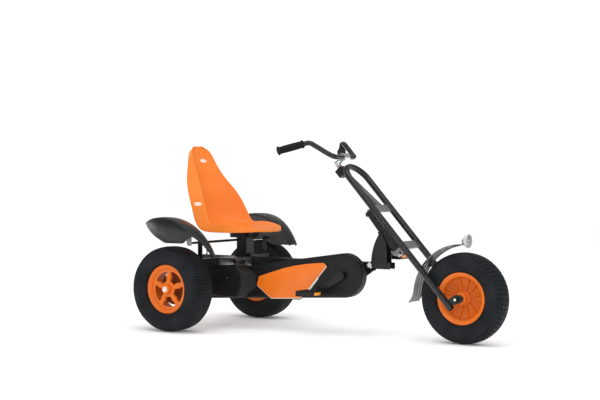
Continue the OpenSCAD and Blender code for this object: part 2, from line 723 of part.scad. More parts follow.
module spoked_rim(bore) difference() {
    union() {
        rotate([90, 0, 0]) rotate_extrude() rim_section(rear_rim_w, 104, bore);
        // wheel disc near the outer flange
        translate([0, rear_rim_w / 2 - 6, 0]) rotate([90, 0, 0]) difference() {
            cylinder(r = bead_r - 4, h = 9);
            translate([0, 0, -e]) cylinder(r = bore + 10, h = 9 + 2 * e);
        }
    }
    for (k = [0 : rear_spokes - 1]) rotate([0, 360 / rear_spokes * k + 18, 0])
        translate([0, 60, 0]) rotate([90, 0, 0]) linear_extrude(50) difference() {
            intersection() {
                circle(bead_r - 16);
                polygon([[bore + 30, 0], [120, -62], [120, 62]]);
            }
            circle(bore + 26);
        }
}

module wheel_at(s) kart() translate([0, s * rear_y, 0]) mirror([0, s < 0 ? 1 : 0, 0])
    children();

module rim_right() color("#f28a1c") wheel_at(-1) spoked_rim(axle_r);

module rim_left() color("#f28a1c") wheel_at(1) spoked_rim(axle_r + fit);

module tyre_right() color("#25272a") wheel_at(-1) tyre(rear_tyre_w, rear_rim_w);

module tyre_left() color("#25272a") wheel_at(1) tyre(rear_tyre_w, rear_rim_w);

module hub_cap(bore) difference() {
    translate([0, 64, 0]) rotate([90, 0, 0]) cylinder(r = bore + 11, h = 12);
    translate([0, 60, 0]) rotate([90, 0, 0]) cylinder(r = bore, h = 20);
}

module cap_right() color("#e4e2dc") wheel_at(-1) hub_cap(axle_r);

module cap_left() color("#e4e2dc") wheel_at(1) hub_cap(axle_r + fit);

// ---- Fork ----

// The two legs and the half circle that joins them, as a tube of radius r.
module fork_tube(r) fork_frame() translate([0, 0, -leg_offset]) {
    bend_u = leg_y - fork_len;
    both_sides() translate([bend_u, leg_y, 0]) rotate([0, 90, 0])
        cylinder(r = r, h = leg_end - bend_u);
    translate([bend_u, 0, 0]) rotate([0, 0, 90]) rotate_extrude(angle = 180)
        translate([leg_y, 0]) circle(r);
}

module fork_legs() color("#15171a") kart() difference() {
    fork_tube(leg_r);
    fork_tube(leg_r - tube_wall);
    fork_frame() both_sides() translate([-46, leg_y - 3, -leg_offset - leg_r - 1])
        cube([100, 6, leg_d + 2]);
}

module stem_block_shape() {
    translate(block_c) rotate([0, fork_rake, 0]) translate([-20, -20, -26])
        cube([40, 40, 40]);
}

module column_rod(r) {
    rod(fork_at(-fork_len - 4, -leg_offset - 42), fork_at(upper_u, -leg_offset - 4), r);
}

module fork_column() color("#8b8f93") kart() difference() {
    column_rod(14);
    fork_tube(leg_r);
    stem_block_shape();
    fork_frame() translate([upper_u - plate_h / 2, -80, -leg_offset - 80])
        cube([200, 160, 160]);
}

module fork_plates() color("#b3b6b9") kart() difference() {
    fork_frame() for (u = [upper_u, lower_u])
        translate([u - plate_h / 2, -leg_y + 8, -leg_offset - plate_t / 2])
            cube([plate_h, 2 * leg_y - 16, plate_t]);
    fork_tube(leg_r);
}

function flat(p) = [p[0], p[2]];

// A crown 44 wide: an outline from the steering axis to the back of the cross plate at u.
module crown(before, u, after) {
    back = -leg_offset - plate_t / 2;
    difference() {
        side_plate(-22, 22) polygon(concat(before,
            [flat(fork_at(u - plate_h / 2, back)), flat(fork_at(u + plate_h / 2, back))], after));
        steer_frame() translate([0, 0, -400]) cylinder(r = bolt_r, h = 600);
        column_rod(14);
    }
}

module upper_crown() color("#1a1c1e") kart() crown(
    [flat(steer_at(-gap, -22)), flat(steer_at(-ear_t, -15)), flat(steer_at(-ear_t, 15))],
    upper_u, [flat(steer_at(-gap, 30))]);

module lower_crown() color("#aeb2b5") kart() crown(
    [flat(steer_at(head_len + ear_t, -18)), flat(steer_at(head_len + gap, -22)),
     flat(steer_at(head_len + gap, 24))],
    lower_u, [flat(steer_at(head_len + ear_t, 18))]);

module steering_bolt() color("#7b7e82") kart() steer_frame() {
    translate([0, 0, -head_len - ear_t]) cylinder(r = bolt_r, h = head_len + 2 * ear_t);
    translate([0, 0, ear_t]) cylinder(r = bolt_r + 5, h = 9);
    translate([0, 0, -head_len - ear_t - 12]) hex_head(24, 12);
}

module dropouts() color("#3a3d40") kart() difference() {
    fork_frame() both_sides() translate([0, leg_y + 3, 0]) rotate([90, 0, 0])
        linear_extrude(6) {
            belt([0, 0], 20, [-16, -leg_offset], leg_r - tube_wall);
            translate([-46, -leg_offset - leg_r + tube_wall])
                square([30, leg_d - 2 * tube_wall]);
        }
    cross_rod(wheelbase, 0, -200, 200, front_axle_d / 2);
}

module front_axle() color("#c0c3c6") kart() translate([wheelbase, 0, 0]) {
    cross_rod(0, 0, -leg_y - 18, leg_y + 18, front_axle_d / 2);
    both_sides() {
        cross_rod(0, 0, front_rim_w / 2 + 10 + gap, leg_y - 3, front_axle_d / 2 + 4);
        translate([0, leg_y + 3, 0]) rotate([-90, 0, 0]) hex_head(22, 10);
    }
}

stem_bend = [bar_c[0] - 38, 0, bar_c[2] - 28];
module stem() color("#d8dadc") kart() difference() {
    union() {
        difference() {
            stem_block_shape();
            fork_tube(leg_r);
        }
        rod(block_c, stem_bend, 12.5);
        translate(stem_bend) sphere(r = 13);
        rod(stem_bend, bar_c, 12.5);
        cross_rod(bar_c[0], bar_c[2], -24, 24, bar_r + 8);
    }
    cross_rod(bar_c[0], bar_c[2], -30, 30, bar_r);
    fork_tube(leg_r);
}

// The handlebar's path as a bar of radius r, shortened at its ends by cut.
module bar_path(r, cut) {
    run = (bar_end - bar_bend) / norm(bar_end - bar_bend);
    mid = [bar_c[0], bar_mid / 2, bar_c[2]];
    cross_rod(bar_c[0], bar_c[2], -bar_mid / 2, bar_mid / 2, r);
    both_sides() {
        translate(mid) sphere(r = 1.02 * r);
        rod(mid, bar_bend, r);
        translate(bar_bend) sphere(r = 1.02 * r);
        rod(bar_bend, bar_end - run * cut, r);
    }
}

module handlebar() color("#1b1d1f") kart() difference() {
    bar_path(bar_r, 0);
    bar_path(bar_r - 2, 4);
}

module grips() color("#26282b") kart() {
    run = (bar_end - bar_bend) / norm(bar_end - bar_bend);
    start = bar_bend + run * 32;
    both_sides() difference() {
        union() {
            rod(start, bar_end + run * 5, grip_d / 2);
            rod(bar_end - run * 1, bar_end + run * 5, grip_d / 2 + 5);
            rod(start, start + run * 5, grip_d / 2 + 4);
        }
        rod(start - run, bar_end, bar_r);
    }
}

// Strip over the front wheel with a flared tail and a small tongue for the lamp.
module front_fender() color("#9fa2a6") kart() translate([wheelbase, 0, 0]) {
    r = front_fender_r;
    t = 2.5;
    flare_r = 90;
    flare_turn = 45;
    turn = 174;                          // where the strip starts to flare
    tip = r * [cos(100), sin(100)];
    side_plate(-front_fender_w / 2, front_fender_w / 2) {
        arc_band([0, 0], r, t, 100, turn);
        arc_band((r + flare_r) * [cos(turn), sin(turn)], flare_r - t, t,
                 turn - 180 - flare_turn, turn - 180);
    }
    translate([tip[0] - 4, -12, tip[1]]) cube([38, 24, t]);
    translate([tip[0] + 31, -12, tip[1]]) cube([3, 24, 26]);
    // stays from the strip to the legs
    translate([-wheelbase, 0, 0]) difference() {
        fork_frame() both_sides() translate([-sqrt(r * r - leg_offset * leg_offset) - 8,
                                             front_fender_w / 2 - 10, -leg_offset - 4])
            cube([16, leg_y - front_fender_w / 2, 8]);
        fork_tube(leg_r);
    }
}

module headlight() color("#dfe1e3") kart() translate([wheelbase - 7, 0, 253])
    rotate([0, 90, 0]) rotate_extrude() difference() {
        polygon([[0, 0], [9, 0], [26, 10], [31, 20], [31, 28], [0, 28]]);
        translate([0, 22]) square([28, 10]);
    }

module lamp_lens() color("#f4f6f8") kart() translate([wheelbase + 15, 0, 253])
    rotate([0, 90, 0]) rotate_extrude() difference() {
        square([28, 6]);
        translate([0, 60]) circle(r = 54.5);
    }

// ---- Front wheel ----

module rim_front() color("#f28a1c") kart() translate([wheelbase, 0, 0]) rotate([90, 0, 0])
    difference() {
        r = front_axle_d / 2 + 20;       // where the disc and ribs leave the hub
        union() {
            rotate_extrude() {
                rim_section(front_rim_w, front_rim_w + 20, front_axle_d / 2 + 10);
                translate([r, -6]) square([bead_r - 2 - r, 12]);
            }
            for (k = [0 : 9]) rotate(36 * k) translate([r, -4, -30])
                cube([bead_r - 4 - r, 8, 60]);
        }
        cylinder(r = front_axle_d / 2 + 10, h = 300, center = true);
    }

module tyre_front() color("#25272a") kart() translate([wheelbase, 0, 0])
    tyre(front_tyre_w, front_rim_w);

module front_bearings() color("#d5d7d9") kart() translate([wheelbase, 0, 0])
    for (s = [-1, 1]) ball_bearing(0, 0, s * (front_rim_w / 2 + 4) - 6,
                                   s * (front_rim_w / 2 + 4) + 6,
                                   front_axle_d / 2 + fit, front_axle_d / 2 + 10);

main_beam();
tube_plugs();
rear_cross_tube();
axle_brackets();
frame_bearings();
crank_hanger();
guard_inner();
guard_outer();
guard_panel();
hub_cover();
cover_screws();
axle_carrier();
drive_chain();
neck_plates();
head_tube();
head_bushes();
neck_bolt();
seat_mast();
seat_rail();
fender_stays();
fender_brackets();
fender_right();
fender_left();
tow_loop();
seat_carriage();
seat_shell();
seat_bolts();
seat_lever();
crank_axle();
crank_arms();
chainring();
pedal_spindles();
pedal_right();
pedal_left();
gear_hub();
rear_axle();
rim_right();
tyre_right();
cap_right();
rim_left();
tyre_left();
cap_left();
fork_legs();
fork_column();
fork_plates();
upper_crown();
lower_crown();
steering_bolt();
dropouts();
front_axle();
stem();
handlebar();
grips();
front_fender();
headlight();
lamp_lens();
rim_front();
tyre_front();
front_bearings();
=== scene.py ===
from math import acos, atan2, cos, degrees, hypot, pi, radians, sin, sqrt
import bmesh
import bpy
from mathutils import Matrix, Vector
from mathutils.bvhtree import BVHTree


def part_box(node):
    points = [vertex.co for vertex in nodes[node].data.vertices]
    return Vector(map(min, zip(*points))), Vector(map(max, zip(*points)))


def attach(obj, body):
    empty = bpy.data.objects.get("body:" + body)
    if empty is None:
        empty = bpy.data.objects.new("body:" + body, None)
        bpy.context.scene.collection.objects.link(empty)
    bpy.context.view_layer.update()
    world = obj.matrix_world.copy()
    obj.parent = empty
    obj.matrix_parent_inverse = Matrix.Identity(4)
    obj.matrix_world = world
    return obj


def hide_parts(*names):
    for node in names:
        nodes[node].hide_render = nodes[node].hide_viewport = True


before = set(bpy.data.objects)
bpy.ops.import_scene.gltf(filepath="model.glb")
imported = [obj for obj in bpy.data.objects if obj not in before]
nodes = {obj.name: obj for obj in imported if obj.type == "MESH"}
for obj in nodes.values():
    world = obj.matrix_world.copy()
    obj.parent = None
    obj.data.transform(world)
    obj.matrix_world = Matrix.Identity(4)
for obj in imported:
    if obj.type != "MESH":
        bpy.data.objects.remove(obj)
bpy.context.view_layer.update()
print("frame loaded:", len(nodes), "nodes")

# places that the pieces share, all taken from the frame
rearLow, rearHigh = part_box("tyre_right")
frontLow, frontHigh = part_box("tyre_front")
wheelR = (rearHigh.z - rearLow.z) / 2
rearX = (rearLow.x + rearHigh.x) / 2
frontX = (frontLow.x + frontHigh.x) / 2
rearY = -(rearLow.y + rearHigh.y) / 2


def spot(x, y, z):
    # a point in millimetres forwards of the rear axle, to the left and above the ground
    return Vector((rearX + x / 1000, y / 1000, z / 1000))


def newFinish(name, rough, metal=0.0, coat=0.0, coatRough=0.1, specular=0.28):
    mat = bpy.data.materials.new(name)
    mat.use_nodes = True
    tree = mat.node_tree
    shader = tree.nodes["Principled BSDF"]
    shader.inputs["Metallic"].default_value = metal
    shader.inputs["Roughness"].default_value = rough
    shader.inputs["Coat Weight"].default_value = coat
    shader.inputs["Coat Roughness"].default_value = coatRough
    shader.inputs["Specular IOR Level"].default_value = specular
    place = tree.nodes.new("ShaderNodeTexCoord")
    return mat, tree, shader, place


def noiseOn(tree, place, scale, detail=3.0, stretch=None):
    noise = tree.nodes.new("ShaderNodeTexNoise")
    noise.inputs["Scale"].default_value = scale
    noise.inputs["Detail"].default_value = detail
    source = place.outputs["Object"]
    if stretch:
        mapping = tree.nodes.new("ShaderNodeMapping")
        mapping.inputs["Scale"].default_value = stretch
        tree.links.new(source, mapping.inputs["Vector"])
        source = mapping.outputs["Vector"]
    tree.links.new(source, noise.inputs["Vector"])
    return noise


def tint(tree, shader, noise, low, high, spread=(0.35, 0.65)):
    ramp = tree.nodes.new("ShaderNodeValToRGB")
    ramp.color_ramp.elements[0].position = spread[0]
    ramp.color_ramp.elements[1].position = spread[1]
    ramp.color_ramp.elements[0].color = (*low, 1)
    ramp.color_ramp.elements[1].color = (*high, 1)
    tree.links.new(noise.outputs["Fac"], ramp.inputs["Fac"])
    tree.links.new(ramp.outputs["Color"], shader.inputs["Base Color"])
    return ramp


def vary(tree, shader, noise, low, high):
    span = tree.nodes.new("ShaderNodeMapRange")
    span.inputs["From Min"].default_value = 0.3
    span.inputs["From Max"].default_value = 0.7
    span.inputs["To Min"].default_value = low
    span.inputs["To Max"].default_value = high
    tree.links.new(noise.outputs["Fac"], span.inputs["Value"])
    tree.links.new(span.outputs["Result"], shader.inputs["Roughness"])


def relief(tree, shader, noise, strength, depth):
    bump = tree.nodes.new("ShaderNodeBump")
    bump.inputs["Strength"].default_value = strength
    bump.inputs["Distance"].default_value = depth
    tree.links.new(noise.outputs["Fac"], bump.inputs["Height"])
    tree.links.new(bump.outputs["Normal"], shader.inputs["Normal"])


def paint(name, low, high, rough, coat, orangePeel=0.06):
    mat, tree, shader, place = newFinish(name, rough, coat=coat, coatRough=0.08)
    tint(tree, shader, noiseOn(tree, place, 9), low, high)
    vary(tree, shader, noiseOn(tree, place, 34, 4), rough - 0.05, rough + 0.08)
    relief(tree, shader, noiseOn(tree, place, 420, 1), orangePeel, 0.0004)
    return mat


def plastic(name, low, high, rough, grain, grainScale, coat=0.0):
    mat, tree, shader, place = newFinish(name, rough, coat=coat, coatRough=0.2)
    tint(tree, shader, noiseOn(tree, place, 7, 4), low, high, (0.3, 0.7))
    vary(tree, shader, noiseOn(tree, place, 26, 5), rough - 0.06, rough + 0.08)
    relief(tree, shader, noiseOn(tree, place, grainScale, 2), grain, 0.0006)
    return mat


def steel(name, low, high, rough, stretch, scale=60, grain=0.12):
    mat, tree, shader, place = newFinish(name, rough, metal=1.0)
    brush = noiseOn(tree, place, scale, 5, stretch)
    tint(tree, shader, brush, low, high, (0.3, 0.7))
    vary(tree, shader, noiseOn(tree, place, scale * 0.6, 4, stretch), rough - 0.08, rough + 0.12)
    relief(tree, shader, brush, grain, 0.0003)
    return mat


def rubber(name, low, high, rough, grainScale=240):
    mat, tree, shader, place = newFinish(name, rough, specular=0.14)
    tint(tree, shader, noiseOn(tree, place, 14, 6), low, high, (0.32, 0.68))
    vary(tree, shader, noiseOn(tree, place, 30, 6), rough - 0.08, rough + 0.1)
    relief(tree, shader, noiseOn(tree, place, grainScale, 3), 0.25, 0.0006)
    return mat


def clearLens(name):
    mat, tree, shader, place = newFinish(name, 0.06)
    shader.inputs["Transmission Weight"].default_value = 0.85
    shader.inputs["IOR"].default_value = 1.49
    tint(tree, shader, noiseOn(tree, place, 12), (0.86, 0.88, 0.9), (0.97, 0.98, 1.0))
    ribs = tree.nodes.new("ShaderNodeTexWave")
    ribs.bands_direction = "Y"
    ribs.inputs["Scale"].default_value = 60
    tree.links.new(place.outputs["Object"], ribs.inputs["Vector"])
    relief(tree, shader, ribs, 0.5, 0.0015)
    return mat


finish = {
    "forkPaint": paint("forkPaint", (0.005, 0.0055, 0.007), (0.009, 0.01, 0.012), 0.16, 0.55,
                       0.015),
    "framePaint": paint("framePaint", (0.006, 0.0065, 0.008), (0.011, 0.012, 0.013), 0.36, 0.15),
    "crankPaint": paint("crankPaint", (0.007, 0.0075, 0.008), (0.012, 0.0125, 0.013), 0.34, 0.12),
    "guardPlastic": plastic("guardPlastic", (0.004, 0.0045, 0.0045), (0.007, 0.008, 0.008),
                            0.42, 0.1, 600, 0.06),
    "coverPlastic": plastic("coverPlastic", (0.0055, 0.0055, 0.0065), (0.01, 0.01, 0.0115),
                            0.46, 0.18, 500),
    "fenderPlastic": plastic("fenderPlastic", (0.006, 0.0065, 0.0075), (0.011, 0.012, 0.013),
                             0.34, 0.1, 520, 0.3),
    "skirtPlastic": plastic("skirtPlastic", (0.045, 0.048, 0.048), (0.06, 0.064, 0.064),
                            0.44, 0.1, 520, 0.1),
    "trimPlastic": plastic("trimPlastic", (0.006, 0.0065, 0.007), (0.012, 0.0125, 0.013),
                           0.5, 0.2, 500),
    "seatPlastic": plastic("seatPlastic", (0.77, 0.186, 0.015), (0.84, 0.212, 0.022),
                           0.42, 0.09, 650, 0.06),
    "rimPlastic": plastic("rimPlastic", (0.72, 0.148, 0.008), (0.8, 0.176, 0.014),
                          0.36, 0.06, 500, 0.12),
    # a darker rim orange: painted shade for the front rim's recessed dish
    "rimPaintedShade": plastic("rimPaintedShade", (0.58, 0.115, 0.006), (0.7, 0.145, 0.01), 0.46, 0.08, 500),
    # a dark brown-orange: painted shade behind the rear rims' windows
    "wellPaintedShade": plastic("wellPaintedShade", (0.16, 0.035, 0.006), (0.24, 0.055, 0.008), 0.5, 0.08,
                         500),
    "shieldPlastic": plastic("shieldPlastic", (0.76, 0.158, 0.009), (0.82, 0.182, 0.013),
                             0.34, 0.05, 500, 0.2),
    "shieldEdge": plastic("shieldEdge", (0.72, 0.6, 0.5), (0.84, 0.74, 0.66), 0.4, 0.05, 500),
    "whiteTrim": plastic("whiteTrim", (0.72, 0.72, 0.72), (0.82, 0.82, 0.81), 0.4, 0.06, 400),
    "labelFilm": plastic("labelFilm", (0.72, 0.6, 0.5), (0.8, 0.7, 0.6), 0.4, 0.05, 400),
    "capPlastic": plastic("capPlastic", (0.62, 0.58, 0.56), (0.76, 0.72, 0.7), 0.38, 0.08, 400),
    "lampShell": plastic("lampShell", (0.5, 0.5, 0.51), (0.62, 0.62, 0.63), 0.2, 0.04, 300, 0.6),
    "amber": plastic("amber", (0.75, 0.2, 0.01), (0.95, 0.34, 0.03), 0.2, 0.3, 300, 0.5),
    "tyreRubber": rubber("tyreRubber", (0.008, 0.0092, 0.0112), (0.0145, 0.0165, 0.0195), 0.56),
    "gripRubber": rubber("gripRubber", (0.008, 0.009, 0.0105), (0.015, 0.016, 0.018), 0.6),
    "zincSheet": steel("zincSheet", (0.34, 0.35, 0.36), (0.5, 0.51, 0.52), 0.36, (1, 8, 1)),
    "fenderZinc": steel("fenderZinc", (0.17, 0.175, 0.18), (0.3, 0.305, 0.31), 0.38, (1, 8, 1)),
    "dullSteel": steel("dullSteel", (0.2, 0.2, 0.2), (0.32, 0.31, 0.3), 0.45, (2, 2, 2)),
    "columnSteel": steel("columnSteel", (0.1, 0.105, 0.11), (0.17, 0.175, 0.18), 0.4, (2, 2, 9)),
    "turnedSteel": steel("turnedSteel", (0.34, 0.35, 0.36), (0.5, 0.51, 0.52), 0.3, (9, 1, 9)),
    "chainSteel": steel("chainSteel", (0.2, 0.19, 0.17), (0.4, 0.39, 0.37), 0.4, (3, 1, 3)),
    "chrome": steel("chrome", (0.74, 0.75, 0.76), (0.86, 0.87, 0.88), 0.1, (1, 1, 1), 20, 0.02),
    "bronze": steel("bronze", (0.3, 0.2, 0.09), (0.42, 0.3, 0.15), 0.4, (2, 2, 2)),
    "lampLens": clearLens("lampLens"),
}
print("finishes made:", len(finish))


def dress(finishName, *names):
    # gives frame parts that stay in view their finish
    for name in names:
        mesh = nodes[name].data
        mesh.materials.clear()
        mesh.materials.append(finish[finishName])


dress("framePaint", "main_beam", "rear_cross_tube", "axle_brackets", "crank_hanger",
      "neck_plates", "head_tube", "seat_mast", "fender_stays", "seat_carriage", "upper_crown",
      "seat_rail", "crank_axle", "pedal_spindles", "cover_screws", "dropouts", "front_axle")
dress("trimPlastic", "tube_plugs", "seat_lever", "pedal_right", "pedal_left")
dress("turnedSteel", "frame_bearings", "gear_hub", "rear_axle", "chainring",
      "front_bearings", "seat_bolts", "steering_bolt", "tow_loop")
dress("chainSteel", "drive_chain")
dress("zincSheet", "fender_brackets", "fork_plates", "axle_carrier")
dress("dullSteel", "lower_crown")
dress("columnSteel", "fork_column")
dress("chrome", "neck_bolt", "stem")
dress("bronze", "head_bushes")
dress("crankPaint", "crank_arms")
dress("forkPaint", "fork_legs")
dress("guardPlastic", "guard_inner")
stem = nodes["stem"]                     # the quill's foot is black under its bright clamp
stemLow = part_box("stem")[0]
stem.data.materials.append(finish["framePaint"])
for face in stem.data.polygons:
    if (stem.matrix_world @ face.center).z < stemLow.z + 0.052:
        face.material_index = 1
for name in nodes:                       # curved frame parts shade smoothly between facets
    mesh = nodes[name].data
    mesh.polygons.foreach_set("use_smooth", [True] * len(mesh.polygons))
    mesh.set_sharp_from_angle(angle=radians(32))


def placed(bm, name, finishName, body, replaced=(), crease=35, weld=1e-5):
    bmesh.ops.remove_doubles(bm, verts=bm.verts, dist=weld)
    bmesh.ops.recalc_face_normals(bm, faces=bm.faces)
    mesh = bpy.data.meshes.new(name)
    bm.to_mesh(mesh)
    bm.free()
    return placedMesh(mesh, name, finishName, body, replaced, crease)


def placedMesh(mesh, name, finishName, body, replaced=(), crease=35):
    mesh.materials.clear()
    mesh.materials.append(finish[finishName])
    mesh.polygons.foreach_set("use_smooth", [True] * len(mesh.polygons))
    mesh.set_sharp_from_angle(angle=radians(crease))
    piece = bpy.data.objects.new(name, mesh)
    bpy.context.scene.collection.objects.link(piece)
    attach(piece, body)
    if replaced:
        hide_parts(*replaced)
    return piece


def walled(bm, name, finishName, body, node, crease, thick):
    # an open face that a modifier gives its wall
    mesh = bpy.data.meshes.new(name)
    bm.to_mesh(mesh)
    bm.free()
    piece = placedMesh(mesh, name, finishName, body, (node,), crease)
    wall = piece.modifiers.new("wall", "SOLIDIFY")
    wall.thickness = thick
    wall.offset = -1
    return piece


def facingUp(bm):
    bmesh.ops.recalc_face_normals(bm, faces=bm.faces)
    top = max(bm.faces, key=lambda f: f.calc_center_median().z)
    if top.normal.z < 0:
        bmesh.ops.reverse_faces(bm, faces=bm.faces)


def section(bm, points, turn=0.0, closed=False):
    # a cross-section of (radius, y) points standing at an angle above +X
    verts = [bm.verts.new((r * cos(turn), y, r * sin(turn))) for r, y in points]
    edges = [bm.edges.new(pair) for pair in zip(verts, verts[1:])]
    if closed:
        edges.append(bm.edges.new((verts[-1], verts[0])))
    return verts + edges


def spun(bm, points, steps, start=0.0, sweep=2 * pi, closed=True):
    # turns a section about the Y axis, from +X towards +Z
    full = abs(sweep - 2 * pi) < 1e-6
    geom = section(bm, points, start, closed)
    if closed and not full:
        edges = [g for g in geom if isinstance(g, bmesh.types.BMEdge)]
        bmesh.ops.contextual_create(bm, geom=edges)
        geom = [g for g in bm.faces] + geom
    return bmesh.ops.spin(bm, geom=geom, cent=(0, 0, 0), axis=(0, -1, 0), angle=sweep,
                          steps=steps, use_merge=full, use_duplicate=False)


def moved(bm, shift):
    bmesh.ops.translate(bm, verts=bm.verts, vec=shift)


def halfTurn(bm, axis):
    bmesh.ops.rotate(bm, verts=bm.verts, cent=(0, 0, 0), matrix=Matrix.Rotation(pi, 3, axis))


def drawnOut(bm, depth):
    # draws a flat face out along Y into a plate, and gives the far face's corners
    made = bmesh.ops.extrude_face_region(bm, geom=bm.faces[:])
    far = [g for g in made["geom"] if isinstance(g, bmesh.types.BMVert)]
    bmesh.ops.translate(bm, vec=(0, depth, 0), verts=far)
    return far


def rounded(bm, edges, offset, segments):
    bmesh.ops.bevel(bm, geom=edges, offset=offset, offset_type="OFFSET", segments=segments,
                    profile=0.5, affect="EDGES", material=-1)


def turnedTo(bm, start, end):
    # stands a shape made along +Y from the origin on the line from start to end
    turn = Vector((0, 1, 0)).rotation_difference(end - start).to_matrix().to_4x4()
    bmesh.ops.transform(bm, matrix=Matrix.Translation(start) @ turn, verts=bm.verts)


def block(bm, low, high, bevel=0.0, segments=2):
    made = bmesh.ops.create_cube(bm, size=1.0)
    verts = made["verts"]
    low, high = Vector(low), Vector(high)
    bmesh.ops.scale(bm, vec=high - low, verts=verts)
    bmesh.ops.translate(bm, vec=(low + high) / 2, verts=verts)
    if bevel:
        rounded(bm, list({e for v in verts for e in v.link_edges}), bevel, segments)


def tubeAlong(points, radius, name, rounds=10, steps=10):
    # a bent tube through points, as a closed mesh
    path = bpy.data.curves.new(name, "CURVE")
    path.dimensions = "3D"
    path.bevel_depth = radius
    path.bevel_resolution = rounds
    path.resolution_u = steps
    path.use_fill_caps = True
    line = path.splines.new("BEZIER")
    line.bezier_points.add(len(points) - 1)
    for knot, point in zip(line.bezier_points, points):
        knot.co = point
        knot.handle_left_type = knot.handle_right_type = "AUTO"
    holder = bpy.data.objects.new(name + "Path", path)
    bpy.context.scene.collection.objects.link(holder)
    bpy.context.view_layer.update()
    mesh = bpy.data.meshes.new_from_object(
        holder.evaluated_get(bpy.context.evaluated_depsgraph_get()))
    bpy.data.objects.remove(holder)
    mesh.name = name
    return mesh


rearTyre = {
    "width": 0.154, "bead": 0.1035, "rimHalf": 0.0435, "blocks": 84, "rows": 8,
    "treadHalf": 0.068, "groove": 0.0012, "blockRise": 0.0036, "slant": 0.085,
    "crown": 0.0075, "shoulder": 0.021,
}
frontTyre = {
    "width": 0.114, "bead": 0.1035, "rimHalf": 0.0365, "blocks": 58, "rows": 6,
    "treadHalf": 0.049, "groove": 0.0015, "blockRise": 0.0034, "slant": 0.07,
    "crown": 0.0085, "shoulder": 0.02,
}


def makeTyre(name, node, body, kind, centre, out):
    bm = bmesh.new()
    half = kind["width"] / 2
    base = wheelR - kind["blockRise"]
    tread = kind["treadHalf"]
    count = kind["rows"]
    outline = []
    for k in range(count + 1):           # across the tread, from the inner to the outer side
        y = -tread + 2 * tread * k / count
        outline.append((base - kind["crown"] * (abs(y) / tread) ** 2.4
                        - kind["shoulder"] * 0.35 * (abs(y) / tread) ** 8, y))
    side = [(base - kind["shoulder"], half * 0.955),
            (base - kind["shoulder"] - 0.012, half * 0.992),
            (base - kind["shoulder"] - 0.0135, half * 0.985),
            (base - kind["shoulder"] - 0.015, half * 0.996),
            (0.157, half), (0.146, half * 0.985), (0.1445, half * 0.968), (0.143, half * 0.975),
            (0.1335, half * 0.925), (0.1235, half * 0.83), (0.1195, half * 0.74),
            (0.1178, kind["rimHalf"] + 0.0065), (0.1168, kind["rimHalf"] + 0.0005),
            (kind["bead"], kind["rimHalf"] - 0.003)]
    inner = [(kind["bead"], kind["rimHalf"] - 0.012), (0.118, kind["rimHalf"] - 0.008),
             (0.135, half - 0.015), (0.165, half - 0.011), (0.186, half - 0.02),
             (0.191, 0.0)]
    right = [(r, -y) for r, y in reversed(side)]
    innerRight = [(r, -y) for r, y in reversed(inner[:-1])]
    loop = right + outline + side + inner + innerRight
    spun(bm, loop, kind["blocks"])
    bmesh.ops.remove_doubles(bm, verts=bm.verts, dist=1e-5)
    for v in bm.verts:                   # the tread blocks slant back towards each shoulder
        r = hypot(v.co.x, v.co.z)
        if r > 0.15:
            turn = kind["slant"] * abs(v.co.y) / half * min((r - 0.15) / 0.03, 1)
            v.co.rotate(Matrix.Rotation(turn, 3, "Y"))
    bmesh.ops.recalc_face_normals(bm, faces=bm.faces)
    low = base - kind["crown"] - kind["shoulder"] * 0.4 - 0.002
    treadFaces = []
    for f in bm.faces:                   # the blocks rise from the faces that look outwards
        c = f.calc_center_median()
        away = Vector((c.x, 0, c.z))
        if f.normal.dot(away.normalized()) > 0.4 and abs(c.y) < tread and away.length > low:
            treadFaces.append(f)
    bmesh.ops.inset_individual(bm, faces=treadFaces, thickness=kind["groove"],
                               depth=kind["blockRise"] * 0.97, use_even_offset=True)
    if out < 0:
        halfTurn(bm, "Z")
        halfTurn(bm, "Y")
    moved(bm, centre)
    return placed(bm, name, "tyreRubber", body, (node,), crease=38)


wheelCentre = {
    "right": Vector((rearX, -rearY, wheelR)),
    "left": Vector((rearX, rearY, wheelR)),
    "front": Vector((frontX, 0, wheelR)),
}
makeTyre("tyreRight", "tyre_right", "rear_axle", rearTyre, wheelCentre["right"], -1)
makeTyre("tyreLeft", "tyre_left", "wheel_left", rearTyre, wheelCentre["left"], 1)
makeTyre("tyreFront", "tyre_front", "wheel_front", frontTyre, wheelCentre["front"], -1)
print("tyres made")


rearRim = {
    "lip": 0.117, "half": 0.048, "well": 0.0975, "spokes": 5, "windowIn": 0.041,
    "windowOut": 0.083, "discThick": 0.02, "spokeHalfAngle": 13.5,
    "bore": 0.0125,
}
hubCap = {                               # (radius, y) from the centre of the face inwards
    "profile": [(0.0, 0.0605), (0.004, 0.0605), (0.005, 0.059), (0.0072, 0.059),
                (0.0086, 0.061), (0.0115, 0.0615), (0.0131, 0.0602), (0.0137, 0.0575),
                (0.0137, 0.0548), (0.0, 0.0548)],
}


